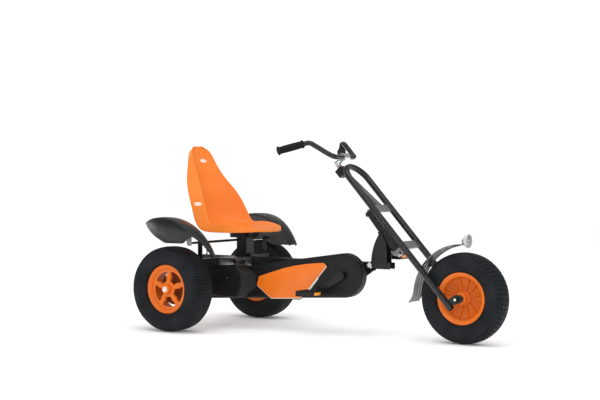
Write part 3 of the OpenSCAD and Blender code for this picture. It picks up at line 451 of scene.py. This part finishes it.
def makeRearRim(name, node, body, centre, out):
    kind = rearRim
    bm = bmesh.new()
    lip, half, well = kind["lip"], kind["half"], kind["well"]
    barrel = [(well, -half + 0.004), (well + 0.012, -half), (lip - 0.003, -half),
              (lip, -half + 0.002), (lip - 0.002, -half + 0.0042), (0.1025, -half + 0.0045),
              (0.102, -half + 0.03), (0.102, half - 0.0045), (lip - 0.002, half - 0.0042),
              (lip, half - 0.0018), (lip - 0.0025, half + 0.0004), (lip - 0.006, half - 0.0006),
              (lip - 0.0085, half - 0.005), (well + 0.0045, half - 0.0075),
              (well, half - 0.012)]
    spun(bm, barrel, 90)
    # disc: a dished ring whose windows are cut out before it gets its thickness
    disc = bmesh.new()
    radii = [0.024, kind["windowIn"], 0.046, 0.056, 0.067, 0.078, kind["windowOut"], 0.0995]
    dish = [0.040, 0.0355, 0.0345, 0.0325, 0.031, 0.0305, 0.031, 0.0345]
    spun(disc, list(zip(radii, dish)), 60, start=radians(3), closed=False)
    bmesh.ops.remove_doubles(disc, verts=disc.verts, dist=1e-5)
    step = 360 / kind["spokes"]
    cut = []
    for f in disc.faces:
        c = f.calc_center_median()
        r = hypot(c.x, c.z)
        off = (degrees(atan2(c.z, c.x)) - 90 + step / 2) % step - step / 2
        limit = kind["spokeHalfAngle"] * 0.047 / r + 3
        if kind["windowIn"] < r < kind["windowOut"] and abs(off) > limit:
            cut.append(f)
    bmesh.ops.delete(disc, geom=cut, context="FACES")
    bmesh.ops.recalc_face_normals(disc, faces=disc.faces)
    bmesh.ops.solidify(disc, geom=disc.faces, thickness=kind["discThick"])
    bmesh.ops.remove_doubles(disc, verts=disc.verts, dist=1e-6)
    bmesh.ops.subdivide_edges(disc, edges=disc.edges, cuts=1, use_grid_fill=True)
    for _ in range(3):
        bmesh.ops.smooth_vert(disc, verts=disc.verts, factor=0.5,
                              use_axis_x=True, use_axis_y=True, use_axis_z=True)
    mesh = bpy.data.meshes.new("discPart")
    disc.to_mesh(mesh)
    disc.free()
    bm.from_mesh(mesh)
    bpy.data.meshes.remove(mesh)
    # a backing plate behind the windows, short of the barrel; its dark colour is painted shade
    # inside the wheel
    spun(bm, [(0.0262, -0.003), (0.078, -0.012), (0.078, -0.016), (0.0262, -0.007)], 60)
    # hub: a sleeve with a raised boss on the outer face
    spun(bm, [(kind["bore"], -0.05), (0.0235, -0.05), (0.026, -0.046), (0.026, 0.02),
              (0.0275, 0.03), (0.0235, 0.044), (0.0216, 0.0552), (0.0198, 0.0572),
              (0.0146, 0.0572), (0.0139, 0.0545), (kind["bore"], 0.0545)], 60)
    if out < 0:
        halfTurn(bm, "Z")
    moved(bm, centre)
    piece = placed(bm, name, "rimPlastic", body, (node,), crease=42)
    piece.data.materials.append(finish["wellPaintedShade"])
    for face in piece.data.polygons:     # the backing plate is dark: painted shade seen through the windows
        c = face.center - centre
        if 0.0265 < hypot(c.x, c.z) < 0.0785 and -0.0165 < c.y * out < -0.0025:
            face.material_index = 1
    return piece


def makeHubCap(name, node, body, centre, out):
    bm = bmesh.new()
    spun(bm, hubCap["profile"], 48, closed=False)
    if out < 0:
        halfTurn(bm, "Z")
    moved(bm, centre)
    return placed(bm, name, "capPlastic", body, (node,), crease=30)


for side, body, out in (("Right", "rear_axle", -1), ("Left", "wheel_left", 1)):
    centre = wheelCentre[side.lower()]
    makeRearRim("rim" + side, "rim_" + side.lower(), body, centre, out)
    makeHubCap("hubCap" + side, "cap_" + side.lower(), body, centre, out)
print("rear rims made")


frontRim = {"lip": 0.117, "half": 0.041, "petals": 12, "floor": 0.011, "hubR": 0.0255,
            "bore": 0.0175, "petalDepth": 0.0095}


def makeFrontRim():
    kind = frontRim
    bm = bmesh.new()
    lip, half, floorY = kind["lip"], kind["half"], kind["floor"]
    face = [(kind["bore"], half + 0.006), (kind["hubR"] - 0.003, half + 0.0065),
            (kind["hubR"], half + 0.004), (kind["hubR"] + 0.001, floorY + 0.009),
            (0.033, floorY + 0.003), (0.047, floorY), (0.064, floorY + 0.0015),
            (0.082, floorY + 0.006), (0.0925, floorY + 0.011), (0.0965, half - 0.011),
            (0.1015, half - 0.006), (lip - 0.005, half - 0.0005), (lip - 0.0015, half + 0.0004),
            (lip, half - 0.0018), (lip - 0.002, half - 0.0042), (0.1025, half - 0.0048)]
    loop = face + [(r, -y) for r, y in reversed(face)]
    spun(bm, loop, kind["petals"] * 6, start=radians(2.5))
    bmesh.ops.remove_doubles(bm, verts=bm.verts, dist=1e-5)
    bmesh.ops.recalc_face_normals(bm, faces=bm.faces)
    step = 360 / kind["petals"]
    for s in (-1, 1):                    # sink a pocket between each pair of ribs
        for k in range(kind["petals"]):
            pocket = []
            for f in bm.faces:
                c = f.calc_center_median()
                r = hypot(c.x, c.z)
                off = (degrees(atan2(c.z, c.x)) - k * step + 180) % 360 - 180
                if 0.034 < r < 0.09 and c.y * s > 0 and abs(off) < step * 0.36 \
                        and abs(c.y) < half - 0.012:
                    pocket.append(f)
            bmesh.ops.inset_region(bm, faces=pocket, thickness=0.0022,
                                   depth=-kind["petalDepth"], use_even_offset=True)
    moved(bm, wheelCentre["front"])
    piece = placed(bm, "rimFront", "rimPlastic", "wheel_front", ("rim_front",),
                   crease=40)
    piece.data.materials.append(finish["rimPaintedShade"])
    for face in piece.data.polygons:     # painted shade: the dish inside the lip gets a darker orange, as if in the lip's shadow
        c = face.center - wheelCentre["front"]
        if 0.028 < hypot(c.x, c.z) < 0.0945 and abs(c.y) < kind["half"] - 0.009:
            face.material_index = 1
    return piece


makeFrontRim()


axleNut = {"profile": [(0.0, 0.003), (0.0045, 0.003), (0.0058, 0.002), (0.0062, -0.004),
                       (0.0, -0.004)]}


def makeAxleNuts():
    low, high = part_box("front_axle")
    for name, s in (("axleNutLeft", 1), ("axleNutRight", -1)):
        end = Vector((frontX, high.y if s > 0 else low.y, wheelR))
        bm = bmesh.new()
        spun(bm, axleNut["profile"], 32, closed=False)
        turnedTo(bm, end, end + Vector((0, s, 0)))
        placed(bm, name, "whiteTrim", "fork", (), crease=30)


makeAxleNuts()
print("front rim made")


seat = {
    "thick": 0.0048, "columns": 40, "ridge": 0.8, "bowl": 2.4,
    # from the front lip to the top, in millimetres: middle x and z, ridge x, z and half
    # width, and the same for the end of the flange outside the ridge
    "stations": [
        (337, -9, 300, -7, 118, 295, -12, 122), (334, 4, 297, 10, 120, 293, -8, 124),
        (312, 4, 280, 14, 146, 277, -10, 151),
        (250, 2, 232, 26, 168, 230, -11, 175), (180, 0, 168, 38, 178, 165, -12, 187),
        (110, 0, 118, 36, 182, 108, -11, 193), (50, 1, 88, 32, 182, 62, -8, 198),
        (5, 13, 74, 46, 176, 26, 6, 198), (-30, 43, 66, 74, 169, -2, 46, 194),
        (-50, 88, 54, 100, 165, -20, 95, 188), (-65, 143, 33, 145, 157, -40, 143, 182),
        (-80, 198, 3, 195, 140, -68, 192, 164), (-100, 253, -36, 248, 110, -101, 246, 134),
        (-117, 308, -71, 304, 93, -111, 300, 112), (-129, 352, -94, 346, 87, -115, 340, 103),
        (-136, 386, -108, 380, 76, -121, 373, 91), (-139, 405, -120, 400, 58, -127, 392, 69),
        (-140, 412, -131, 410, 30, -135, 403, 36)],
}
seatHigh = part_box("seat_shell")[1]
panZ = seatHigh.z - 0.4015               # height of the middle of the pan


def eased(low, high, value):
    t = max(0.0, min(1.0, (value - low) / (high - low)))
    return t * t * (3 - 2 * t)


def seatPoint(row, u):
    # a point of the upper face: row runs along the stations and u from -1 to 1 across
    last = len(seat["stations"]) - 1
    i = min(int(row), last - 1)
    f = row - i
    here, after = seat["stations"][i], seat["stations"][i + 1]
    s = [a + (b - a) * f for a, b in zip(here, after)]
    across = abs(u) / seat["ridge"]
    if across <= 1:
        k = across ** seat["bowl"]
        x, z, y = s[0] + (s[2] - s[0]) * k, s[1] + (s[3] - s[1]) * k, s[4] * across
    else:
        k = (abs(u) - seat["ridge"]) / (1 - seat["ridge"])
        x, z, y = (a + (b - a) * k for a, b in ((s[2], s[5]), (s[3], s[6]), (s[4], s[7])))
    return spot(x, y if u > 0 else -y, 0) + Vector((0, 0, panZ + z / 1000))


def makeSeat():
    rows = len(seat["stations"])
    bm = bmesh.new()
    bmesh.ops.create_grid(bm, x_segments=seat["columns"], y_segments=rows - 1, size=1.0)
    for v in bm.verts:
        v.co = seatPoint((v.co.y + 1) / 2 * (rows - 1), v.co.x)
    bmesh.ops.recalc_face_normals(bm, faces=bm.faces)
    middle = min(bm.faces, key=lambda f: (f.calc_center_median() - seatPoint(5, 0)).length)
    if middle.normal.z < 0:
        bmesh.ops.reverse_faces(bm, faces=bm.faces)
    piece = walled(bm, "seatShell", "seatPlastic", "seat", "seat_shell", 60,
                   seat["thick"])
    smooth = piece.modifiers.new("smooth", "SUBSURF")
    smooth.levels = smooth.render_levels = 2
    return piece


seatShell = makeSeat()


def makeSticker(name, row, u, wide, high):
    # a blank oval label laid on the shell's upper face
    bpy.context.view_layer.update()
    tree = BVHTree.FromObject(seatShell, bpy.context.evaluated_depsgraph_get())
    bm = bmesh.new()
    bmesh.ops.create_circle(bm, cap_ends=True, segments=28, radius=1.0)
    bmesh.ops.inset_region(bm, faces=bm.faces, thickness=0.35)
    centre = seatPoint(row, u)
    along = (seatPoint(row + 0.3, u) - seatPoint(row - 0.3, u)).normalized()
    across = (seatPoint(row, u + 0.05) - seatPoint(row, u - 0.05)).normalized()
    face = across.cross(along).normalized()
    if face.x < 0:
        face.negate()
    for v in bm.verts:
        start = centre + across * v.co.x * wide + along * v.co.y * high + face * 0.03
        hit = tree.ray_cast(start, -face)[0]
        v.co = (hit if hit else start - face * 0.03) + face * 0.0007
    return placed(bm, name, "labelFilm", "seat")


makeSticker("stickerTop", 13.7, 0.26, 0.02, 0.01)
makeSticker("stickerSide", 9.6, -0.9, 0.02, 0.01)
print("seat made")


guard = {
    "rearR": 0.068, "frontR": 0.103, "crankX": 792, "crankZ": 282.5, "inner": -0.0675,
    "outer": -0.090, "round": 0.009,
}


def beltFace(bm, y):
    # a circle whose front part is drawn out to the crank's larger circle
    front = spot(guard["crankX"], 0, guard["crankZ"])
    rear = spot(0, 0, wheelR * 1000)
    line = front - rear
    lean = atan2(line.z, line.x)
    bound = acos((guard["rearR"] - guard["frontR"]) / hypot(line.x, line.z))
    made = bmesh.ops.create_circle(bm, cap_ends=True, segments=160, radius=1.0)
    for v in made["verts"]:
        turn = atan2(v.co.y, v.co.x)
        ahead = abs((turn - lean + pi) % (2 * pi) - pi) < bound
        centre, r = (front, guard["frontR"]) if ahead else (rear, guard["rearR"])
        v.co = centre + Vector((cos(turn), 0, sin(turn))) * r + Vector((0, y, 0))


def makeGuard():
    bm = bmesh.new()
    beltFace(bm, guard["inner"])
    drawnOut(bm, guard["outer"] - guard["inner"])
    rim = [e for e in bm.edges if all(abs(v.co.y - guard["outer"]) < 1e-5 for v in e.verts)]
    rounded(bm, rim, guard["round"], 5)
    outerFace = [f for f in bm.faces if len(f.verts) > 100
                 and f.calc_center_median().y < guard["outer"] + 1e-4]
    # a shallow step follows the outline inside the rounded edge
    bmesh.ops.inset_region(bm, faces=outerFace, thickness=0.006)
    bmesh.ops.inset_region(bm, faces=outerFace, thickness=0.0015, depth=-0.0012)
    return placed(bm, "guardShell", "guardPlastic", "frame", ("guard_outer",),
                  crease=28)


shield = {
    "outline": [(303, 216), (386, 158), (552, 167), (595, 205), (655, 270), (703, 323),
                (687, 338), (640, 334.5), (580, 327.5), (520, 317.5), (458, 303), (386, 281),
                (316, 259)],
    "bezel": 9, "shiftX": 1.6, "shiftZ": -2.4,
    "stripe": [(600, 199), (606, 201), (659, 263), (655, 272)],
}


def flatPlate(name, outline, yBack, yFront, finishName, body, bevel, replaced=()):
    bm = bmesh.new()
    verts = [bm.verts.new(spot(x, 0, z) + Vector((0, yBack, 0))) for x, z in outline]
    bm.faces.new(verts)
    drawnOut(bm, yFront - yBack)
    rim = [e for e in bm.edges if all(abs(v.co.y - yFront) < 1e-6 for v in e.verts)]
    rounded(bm, rim, bevel, 2)
    return placed(bm, name, finishName, body, replaced, crease=25)


def grown(outline, amount, shift=(0, 0)):
    # pushes an outline's points out from its middle line by about the same amount
    cx = sum(p[0] for p in outline) / len(outline)
    cz = sum(p[1] for p in outline) / len(outline)
    out = []
    for x, z in outline:
        d = hypot(x - cx, z - cz)
        out.append((x + (x - cx) / d * amount + shift[0], z + (z - cz) / d * amount + shift[1]))
    return out


makeGuard()
faceY = guard["outer"]
flatPlate("shieldBezel", grown(shield["outline"], shield["bezel"]), faceY + 0.002, faceY - 0.0008,
          "coverPlastic", "frame", 0.0006)
flatPlate("shieldOutline", grown(shield["outline"], 1.0, (shield["shiftX"], shield["shiftZ"])),
          faceY - 0.0006, faceY - 0.0019, "shieldEdge", "frame", 0.0003)
flatPlate("shieldFace", shield["outline"], faceY - 0.0015, faceY - 0.003, "shieldPlastic",
          "frame", 0.0007, ("guard_panel",))
flatPlate("shieldStripe", shield["stripe"], faceY - 0.0012, faceY - 0.0028, "whiteTrim",
          "frame", 0.0003)


cover = {
    "back": -95, "shoulder": 236, "nose": 296, "low": 155.5, "high": 305, "inside": -0.09,
    "side": -0.150, "round": 0.008, "slopeFrom": 200, "slope": 42 / 96,
    "bolts": (("coverBolt", 117, 251, 0.0095), ("coverScrew", 168, 249, 0.0045)),
}


def makeCover():
    bm = bmesh.new()
    back, shoulder, nose = cover["back"], cover["shoulder"], cover["nose"]
    low, high = cover["low"], cover["high"]
    outline = [(back, 186), (back + 40, low), (shoulder, low), (nose, 200), (nose, 270),
               (shoulder, high), (back, high)]
    inside = cover["inside"]
    bm.faces.new([bm.verts.new(spot(x, inside * 1000, z)) for x, z in outline])
    # the front slopes back towards the outer face
    for v in drawnOut(bm, cover["side"] - inside):
        ahead = v.co.x - spot(cover["slopeFrom"], 0, 0).x
        if ahead > 0:
            v.co.x -= ahead * cover["slope"]
    edges = [e for e in bm.edges if not all(abs(v.co.y - inside) < 1e-6 for v in e.verts)]
    rounded(bm, edges, cover["round"], 4)
    outerFace = [f for f in bm.faces if len(f.verts) > 6
                 and abs(f.calc_center_median().y - cover["side"]) < 1e-4]
    bmesh.ops.inset_region(bm, faces=outerFace, thickness=0.016)
    bmesh.ops.inset_region(bm, faces=outerFace, thickness=0.0018, depth=-0.0018)
    return placed(bm, "hubCover", "coverPlastic", "frame", ("hub_cover",),
                  crease=30)


def makeCoverBolts():
    # a flanged bolt and a small screw on the hub cover's outer face
    for name, x, z, r in cover["bolts"]:
        bm = bmesh.new()
        spun(bm, [(0.0, 0.0015), (r * 0.35, 0.0015), (r * 0.42, 0.0045), (r * 0.62, 0.0045),
                  (r * 0.68, 0.0022), (r * 0.95, 0.002), (r, 0.001), (r, -0.0035),
                  (0.0, -0.0035)], 32, closed=False)
        place = spot(x, cover["side"] * 1000, z)
        turnedTo(bm, place, place + Vector((0, -1, 0)))
        placed(bm, name, "zincSheet", "frame", (), crease=30)


makeCover()
makeCoverBolts()
print("guard and cover made")


fender = {
    "radius": 0.290, "cx": -25, "cz": 255, "inner": 0.300, "outer": 0.430, "thick": 0.003,
    "tailAngle": 116, "frontRight": 22, "frontLeft": 27.5, "lip": 0.011,
    "skirtZ": 0.170, "tailZ": 0.245, "innerRight": 0.338, "tailY": 0.375,
}


def makeFender(name, node, side):
    kind = fender
    bm = bmesh.new()
    r, inner, outer, lip = kind["radius"], kind["inner"], kind["outer"], kind["lip"]
    last = kind["frontLeft"] if side > 0 else kind["frontRight"]
    points = [(r - lip, inner + 0.0004), (r - 0.005, inner + 0.0008), (r - 0.0015, inner + 0.004),
              (r, inner + 0.012), (r + 0.002, (inner + outer) / 2), (r, outer - 0.016),
              (r - 0.002, outer - 0.006), (r - 0.007, outer - 0.0018),
              (r - 0.018, outer - 0.0004)]
    steps = 44
    sweep = radians(kind["tailAngle"] - last)
    spun(bm, points, steps, start=radians(last), sweep=sweep, closed=False)
    # the outer lip widens into a skirt behind the seat and ends level below
    for v in bm.verts:
        turn = degrees(atan2(v.co.z, v.co.x))
        if v.co.y > outer - 0.001:
            low = kind["skirtZ"] + (kind["tailZ"] - kind["skirtZ"]) * max(0, turn - 83) / 33
            v.co.z += (low - v.co.z) * eased(46, 60, turn)
        edge = kind["innerRight"] if side < 0 else inner
        y = edge + (v.co.y - inner) * (outer - edge) / (outer - inner)
        if side < 0:                     # the right strip narrows and ends in a point
            share = 1 - 0.93 * eased(66, last - 4, turn)
        else:
            share = 1 - 0.52 * eased(92, last - 6, turn)
        y = edge + (y - edge) * share
        tail = max(0.0, (turn - 92) / 24)
        v.co.y = kind["tailY"] + (y - kind["tailY"]) * (1 - 0.88 * tail ** 1.6)
    if side < 0:
        bmesh.ops.mirror(bm, geom=bm.verts[:] + bm.edges[:] + bm.faces[:], axis="Y",
                         merge_dist=-1.0)
        near = [v for v in bm.verts if v.co.y > 0]
        bmesh.ops.delete(bm, geom=near, context="VERTS")
    moved(bm, spot(kind["cx"], 0, kind["cz"]))
    facingUp(bm)
    return walled(bm, name, "fenderPlastic", "frame", node, 50, kind["thick"])


makeFender("fenderRight", "fender_right", -1)
makeFender("fenderLeft", "fender_left", 1)


apron = {"y": 0.3008, "thick": 0.0026, "arch": 0.216, "foot": 388, "footX": (113, 228)}
bracket = {"plate": 0.0035, "rodR": 0.0056, "rodFrom": 0.294, "reach": 0.274,
           "insideRight": 0.344, "insideLeft": 0.306}


def makeApron():
    # inner skirt of the left fender, arched over the tyre and level at its front
    bm = bmesh.new()
    c = spot(fender["cx"], 0, fender["cz"])
    r = fender["radius"] - 0.003
    arc = [c + Vector((cos(radians(a)), 0, sin(radians(a)))) * r for a in range(28, 109, 3)]
    hub = spot(0, 0, wheelR * 1000)
    arch = [hub + Vector((cos(radians(a)), 0, sin(radians(a)))) * apron["arch"]
            for a in range(112, 59, -4)]
    low = [spot(x, 0, apron["foot"]) for x in apron["footX"]]
    out = Vector((0, apron["y"], 0))
    bm.faces.new([bm.verts.new(p + out) for p in arc + arch + low])
    drawnOut(bm, apron["thick"])
    return placed(bm, "fenderApron", "skirtPlastic", "frame", (), crease=30)


def makeBracket(name, yIn, s, replaced):
    # a zinc gusset from the end of the stay bar up to the underside of a fender's crown
    low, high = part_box("fender_brackets")
    c = spot(fender["cx"], 0, fender["cz"])
    x, z = high.x - 0.012, low.z + 0.012
    reach = bracket["reach"]
    outline = [(x - 0.012, z - 0.012), (x + 0.012, z - 0.012)]
    outline += [(px, c.z + sqrt(reach ** 2 - (px - c.x) ** 2))
                for px in (x + 0.012, x - 0.014, x - 0.040)]
    bm = bmesh.new()
    bm.faces.new([bm.verts.new((px, s * yIn, pz)) for px, pz in outline])
    drawnOut(bm, s * bracket["plate"])
    placed(bm, name, "zincSheet", "frame", replaced, crease=30)
    bm = bmesh.new()                     # the bar's end, drawn out to the gusset
    length, r = yIn - bracket["rodFrom"], bracket["rodR"]
    spun(bm, [(0.0, 0.0), (r, 0.0), (r, length), (0.0, length)], 24, closed=False)
    start = Vector((x, s * bracket["rodFrom"], z))
    turnedTo(bm, start, start + Vector((0, s, 0)))
    placed(bm, name + "Bar", "framePaint", "frame", (), crease=30)


makeApron()
makeBracket("bracketRight", bracket["insideRight"], -1, ("fender_brackets",))
makeBracket("bracketLeft", bracket["insideLeft"], 1, ())
print("rear fenders made")


frontFender = {
    "radius": 0.238, "half": 0.043, "start": 100, "turn": 174, "flare": 0.090, "tail": 38,
    "thick": 0.0024, "grooveDepth": 0.0022,
}


def makeFrontFender():
    kind = frontFender
    bm = bmesh.new()
    r, half, g = kind["radius"] + 0.0024, kind["half"], kind["grooveDepth"]
    points = [(r - 0.007, -half), (r - 0.0015, -half + 0.0012), (r, -half + 0.004)]
    for y in (-0.024, 0.0, 0.024):       # three rounded grooves run along the strip
        points += [(r, y - 0.0065), (r - g, y - 0.0045), (r - g, y + 0.0045), (r, y + 0.0065)]
    points += [(r, half - 0.004), (r - 0.0015, half - 0.0012), (r - 0.007, half)]
    made = spun(bm, points, 22, start=radians(kind["start"]),
                sweep=radians(kind["turn"] - kind["start"]), closed=False)
    away = Vector((cos(radians(kind["turn"])), 0, sin(radians(kind["turn"]))))
    bmesh.ops.spin(bm, geom=made["geom_last"], cent=away * (r + kind["flare"]),
                   axis=(0, 1, 0), angle=radians(kind["tail"]), steps=10,
                   use_merge=False, use_duplicate=False)
    bmesh.ops.remove_doubles(bm, verts=bm.verts, dist=1e-6)
    moved(bm, wheelCentre["front"])
    facingUp(bm)
    return walled(bm, "frontFender", "fenderZinc", "fork", "front_fender", 40,
                  kind["thick"])


def makeFenderHardware():
    bm = bmesh.new()
    r, turn = frontFender["radius"], radians(frontFender["start"])
    tip = wheelCentre["front"] + Vector((r * cos(turn), 0, r * sin(turn)))
    block(bm, tip + Vector((-0.006, -0.012, 0)), tip + Vector((0.034, 0.012, 0.0025)), 0.0007)
    block(bm, tip + Vector((0.031, -0.012, 0)), tip + Vector((0.034, 0.012, 0.026)), 0.0007)
    for s in (-1, 1):                    # small stays to the fork legs
        low = wheelCentre["front"] + Vector((-0.1985, s * 0.046 - 0.018, 0.1285))
        block(bm, low, low + Vector((0.014, 0.036, 0.006)), 0.001)
    return placed(bm, "frontFenderBrackets", "fenderZinc", "fork", (), crease=30)


makeFrontFender()
makeFenderHardware()


lamp = {                                 # (radius, height) of the shell and of the lens
    "shell": [(0.0, 0.0), (0.007, 0.0), (0.009, 0.0008), (0.0185, 0.0045), (0.0255, 0.0105),
              (0.0292, 0.0172), (0.0302, 0.0195), (0.0312, 0.0205), (0.0312, 0.0262),
              (0.0302, 0.0278), (0.0282, 0.0278), (0.0275, 0.0262), (0.0265, 0.0225),
              (0.016, 0.0135), (0.0, 0.0095)],
    "lens": [(0.0, 0.0282), (0.012, 0.0276), (0.021, 0.026), (0.0272, 0.0236),
             (0.0272, 0.022), (0.021, 0.0235), (0.0, 0.0252)],
}


def makeLamp():
    lampLow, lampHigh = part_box("headlight")
    centre = Vector((lampLow.x, (lampLow.y + lampHigh.y) / 2, (lampLow.z + lampHigh.z) / 2))
    bm = bmesh.new()
    # the shell is made along +Y, then turned to face forwards
    spun(bm, lamp["shell"], 64, closed=False)
    turnedTo(bm, centre, centre + Vector((1, 0, 0)))
    placed(bm, "lampShell", "lampShell", "fork", ("headlight",), crease=35)
    bm = bmesh.new()
    spun(bm, lamp["lens"], 64, closed=False)
    turnedTo(bm, centre, centre + Vector((1, 0, 0)))
    placed(bm, "lampLens", "lampLens", "fork", ("lamp_lens",), crease=35)


makeLamp()
print("front fender and lamp made")


bar = {
    "radius": 0.012, "gripR": 0.0165, "ribs": 20, "flangeR": 0.0215,
    "middle": (742, 0, 832), "bend": (-0.095, 0.150, 0.067), "run": (-0.090, 0.120, -0.040),
}
barMiddle = spot(*bar["middle"])
barBend = barMiddle + Vector(bar["bend"])
barTip = barBend + Vector(bar["run"])


def onSide(point, s):
    return Vector((point.x, point.y * s, point.z))


def makeHandlebar():
    half = Vector((0, 0.092, 0))
    mid = barMiddle + half
    run = (barTip - barBend).normalized()
    rise = (barBend - mid).normalized()
    right = [barTip - run * 0.0005, barBend + run * 0.06, barBend + run * 0.028,
             barBend - run * 0.002 + Vector((0, 0, -0.004)), barBend - rise * 0.03,
             mid + rise * 0.03, mid + Vector((0, -0.004, 0.002)), mid - Vector((0, 0.032, 0)),
             barMiddle + Vector((0, 0.02, 0))]
    points = right + [onSide(p, -1) for p in reversed(right)]
    mesh = tubeAlong(points, bar["radius"], "handlebarTube")
    return placedMesh(mesh, "handlebarTube", "forkPaint", "fork", ("handlebar",))


def makeGrip(name, s, replaced):
    run = (onSide(barTip, s) - onSide(barBend, s)).normalized()
    start = onSide(barBend, s) + run * 0.032
    end = onSide(barTip, s) + run * 0.005
    length = (end - start).length
    r = bar["gripR"]
    points = [(bar["radius"] + 0.0001, 0.0), (r + 0.0025, 0.0), (r + 0.0035, 0.0015),
              (r + 0.003, 0.004), (r, 0.006)]
    body = length - 0.006 - 0.012
    for k in range(bar["ribs"]):         # a rib and a groove at a time
        y = 0.006 + body * (k + 0.5) / bar["ribs"]
        swell = 0.0012 * sin(pi * (k + 0.5) / bar["ribs"])
        points += [(r - 0.0012 + swell, y - body / bar["ribs"] * 0.32),
                   (r + 0.0003 + swell, y - body / bar["ribs"] * 0.16),
                   (r + 0.0003 + swell, y + body / bar["ribs"] * 0.2),
                   (r - 0.0012 + swell, y + body / bar["ribs"] * 0.34)]
    points += [(r, length - 0.011), (bar["flangeR"] - 0.001, length - 0.0075),
               (bar["flangeR"], length - 0.0055), (bar["flangeR"] - 0.001, length - 0.002),
               (bar["flangeR"] - 0.006, length), (0.0, length), (0.0, length - 0.003),
               (bar["radius"] + 0.0001, length - 0.003)]
    bm = bmesh.new()
    spun(bm, points, 40)
    turnedTo(bm, start, end)
    return placed(bm, name, "gripRubber", "fork", replaced, crease=50)


makeHandlebar()
makeGrip("gripLeft", 1, ("grips",))
makeGrip("gripRight", -1, ())
print("handlebar made")


pedal = {"bars": 5, "half": 0.044, "top": 0.012, "boss": 0.021, "reflectorX": 0.046,
         "reflectorHalf": (0.0015, 0.026, 0.0065)}


def makePedalTrim(name, node, body):
    low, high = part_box(node)
    s = 1 if (low.y + high.y) > 0 else -1
    centre = (low + high) / 2
    innerY = (low.y if s > 0 else -high.y) + pedal["boss"]
    outerY = high.y if s > 0 else -low.y
    bm = bmesh.new()
    for face in (-1, 1):
        for k in range(pedal["bars"]):   # raised bars across the tread
            y = innerY + (outerY - innerY) * (k + 0.5) / pedal["bars"]
            x0, x1 = centre.x - pedal["half"], centre.x + pedal["half"]
            zFace = centre.z + face * pedal["top"]
            block(bm, (x0, s * y - 0.002, zFace - 0.0015), (x1, s * y + 0.002, zFace + 0.0024),
                  0.0008, 1)
    placed(bm, name + "Bars", "trimPlastic", body, (), crease=30)
    bm = bmesh.new()
    for face in (-1, 1):
        middle = Vector((centre.x + face * pedal["reflectorX"], s * (innerY + outerY) / 2,
                         centre.z))
        half = Vector(pedal["reflectorHalf"])
        block(bm, middle - half, middle + half, 0.001, 2)
    placed(bm, name + "Reflectors", "amber", body, (), crease=30)


makePedalTrim("pedalRight", "pedal_right", "pedal_right")
makePedalTrim("pedalLeft", "pedal_left", "pedal_left")
print("pedals made")


air = {"seen": 1.1, "diffuse": 0.99, "glossy": 0.38, "floor": 14, "glow": 0.07}
lights = (                               # name, place, target, size and power
    ("topBox", (0.3, -0.6, 3.2), (0, 0, 0.2), (3.2, 2.2), 30),
    ("sideBox", (3.2, -2.4, 2.2), (0.2, 0, 0.3), (1.6, 2.2), 14),
    ("stripBox", (0.7, -3.2, 2.5), (0.3, 0, 0.4), (0.16, 2.8), 16),
)
view = {"place": (3.3117, -5.1660, 0.7659), "forward": (-0.5615, 0.8272, -0.0222),
        "lens": 78.03, "sensor": 36}


def makeStage():
    bm = bmesh.new()
    bmesh.ops.create_grid(bm, x_segments=1, y_segments=1, size=air["floor"])
    mesh = bpy.data.meshes.new("studioFloor")
    bm.to_mesh(mesh)
    bm.free()
    mat, tree, shader, place = newFinish("floorPaint", 0.9, specular=0.0)
    tint(tree, shader, noiseOn(tree, place, 0.6), (0.945, 0.945, 0.945), (0.955, 0.955, 0.955))
    shader.inputs["Emission Color"].default_value = (1, 1, 1, 1)
    shader.inputs["Emission Strength"].default_value = air["glow"]
    mesh.materials.append(mat)
    floor = bpy.data.objects.new("studioFloor", mesh)
    bpy.context.scene.collection.objects.link(floor)
    world = bpy.data.worlds.new("studioAir")
    world.use_nodes = True
    tree = world.node_tree
    back = tree.nodes["Background"]
    back.inputs["Color"].default_value = (1, 1, 1, 1)
    path = tree.nodes.new("ShaderNodeLightPath")
    level = back.inputs["Strength"]
    power = None
    for ray, share in (("Is Camera Ray", air["seen"]), ("Is Glossy Ray", air["glossy"])):
        step = tree.nodes.new("ShaderNodeMath")
        step.operation = "MULTIPLY_ADD"
        tree.links.new(path.outputs[ray], step.inputs[0])
        step.inputs[1].default_value = share - air["diffuse"]
        step.inputs[2].default_value = air["diffuse"]
        if power:
            tree.links.new(power, step.inputs[2])
        power = step.outputs[0]
    tree.links.new(power, level)
    bpy.context.scene.world = world


def softLight(name, place, target, size, power):
    panel = bpy.data.lights.new(name, "AREA")
    panel.shape = "RECTANGLE"
    panel.size, panel.size_y = size
    panel.energy = power
    holder = bpy.data.objects.new(name, panel)
    bpy.context.scene.collection.objects.link(holder)
    holder.location = place
    holder.rotation_euler = (Vector(target) - Vector(place)).to_track_quat("-Z", "Y").to_euler()


def makeCamera():
    lens = bpy.data.cameras.new("studioCamera")
    lens.lens = view["lens"]
    lens.sensor_width = view["sensor"]
    lens.clip_end = 60
    camera = bpy.data.objects.new("studioCamera", lens)
    bpy.context.scene.collection.objects.link(camera)
    forward = Vector(view["forward"]).normalized()
    right = forward.cross(Vector((0, 0, 1))).normalized()
    up = right.cross(forward)
    turn = Matrix((right, up, -forward)).transposed().to_4x4()
    camera.matrix_world = Matrix.Translation(view["place"]) @ turn
    bpy.context.scene.camera = camera


makeStage()
for light in lights:
    softLight(*light)
makeCamera()
bpy.context.scene.view_settings.view_transform = "Standard"
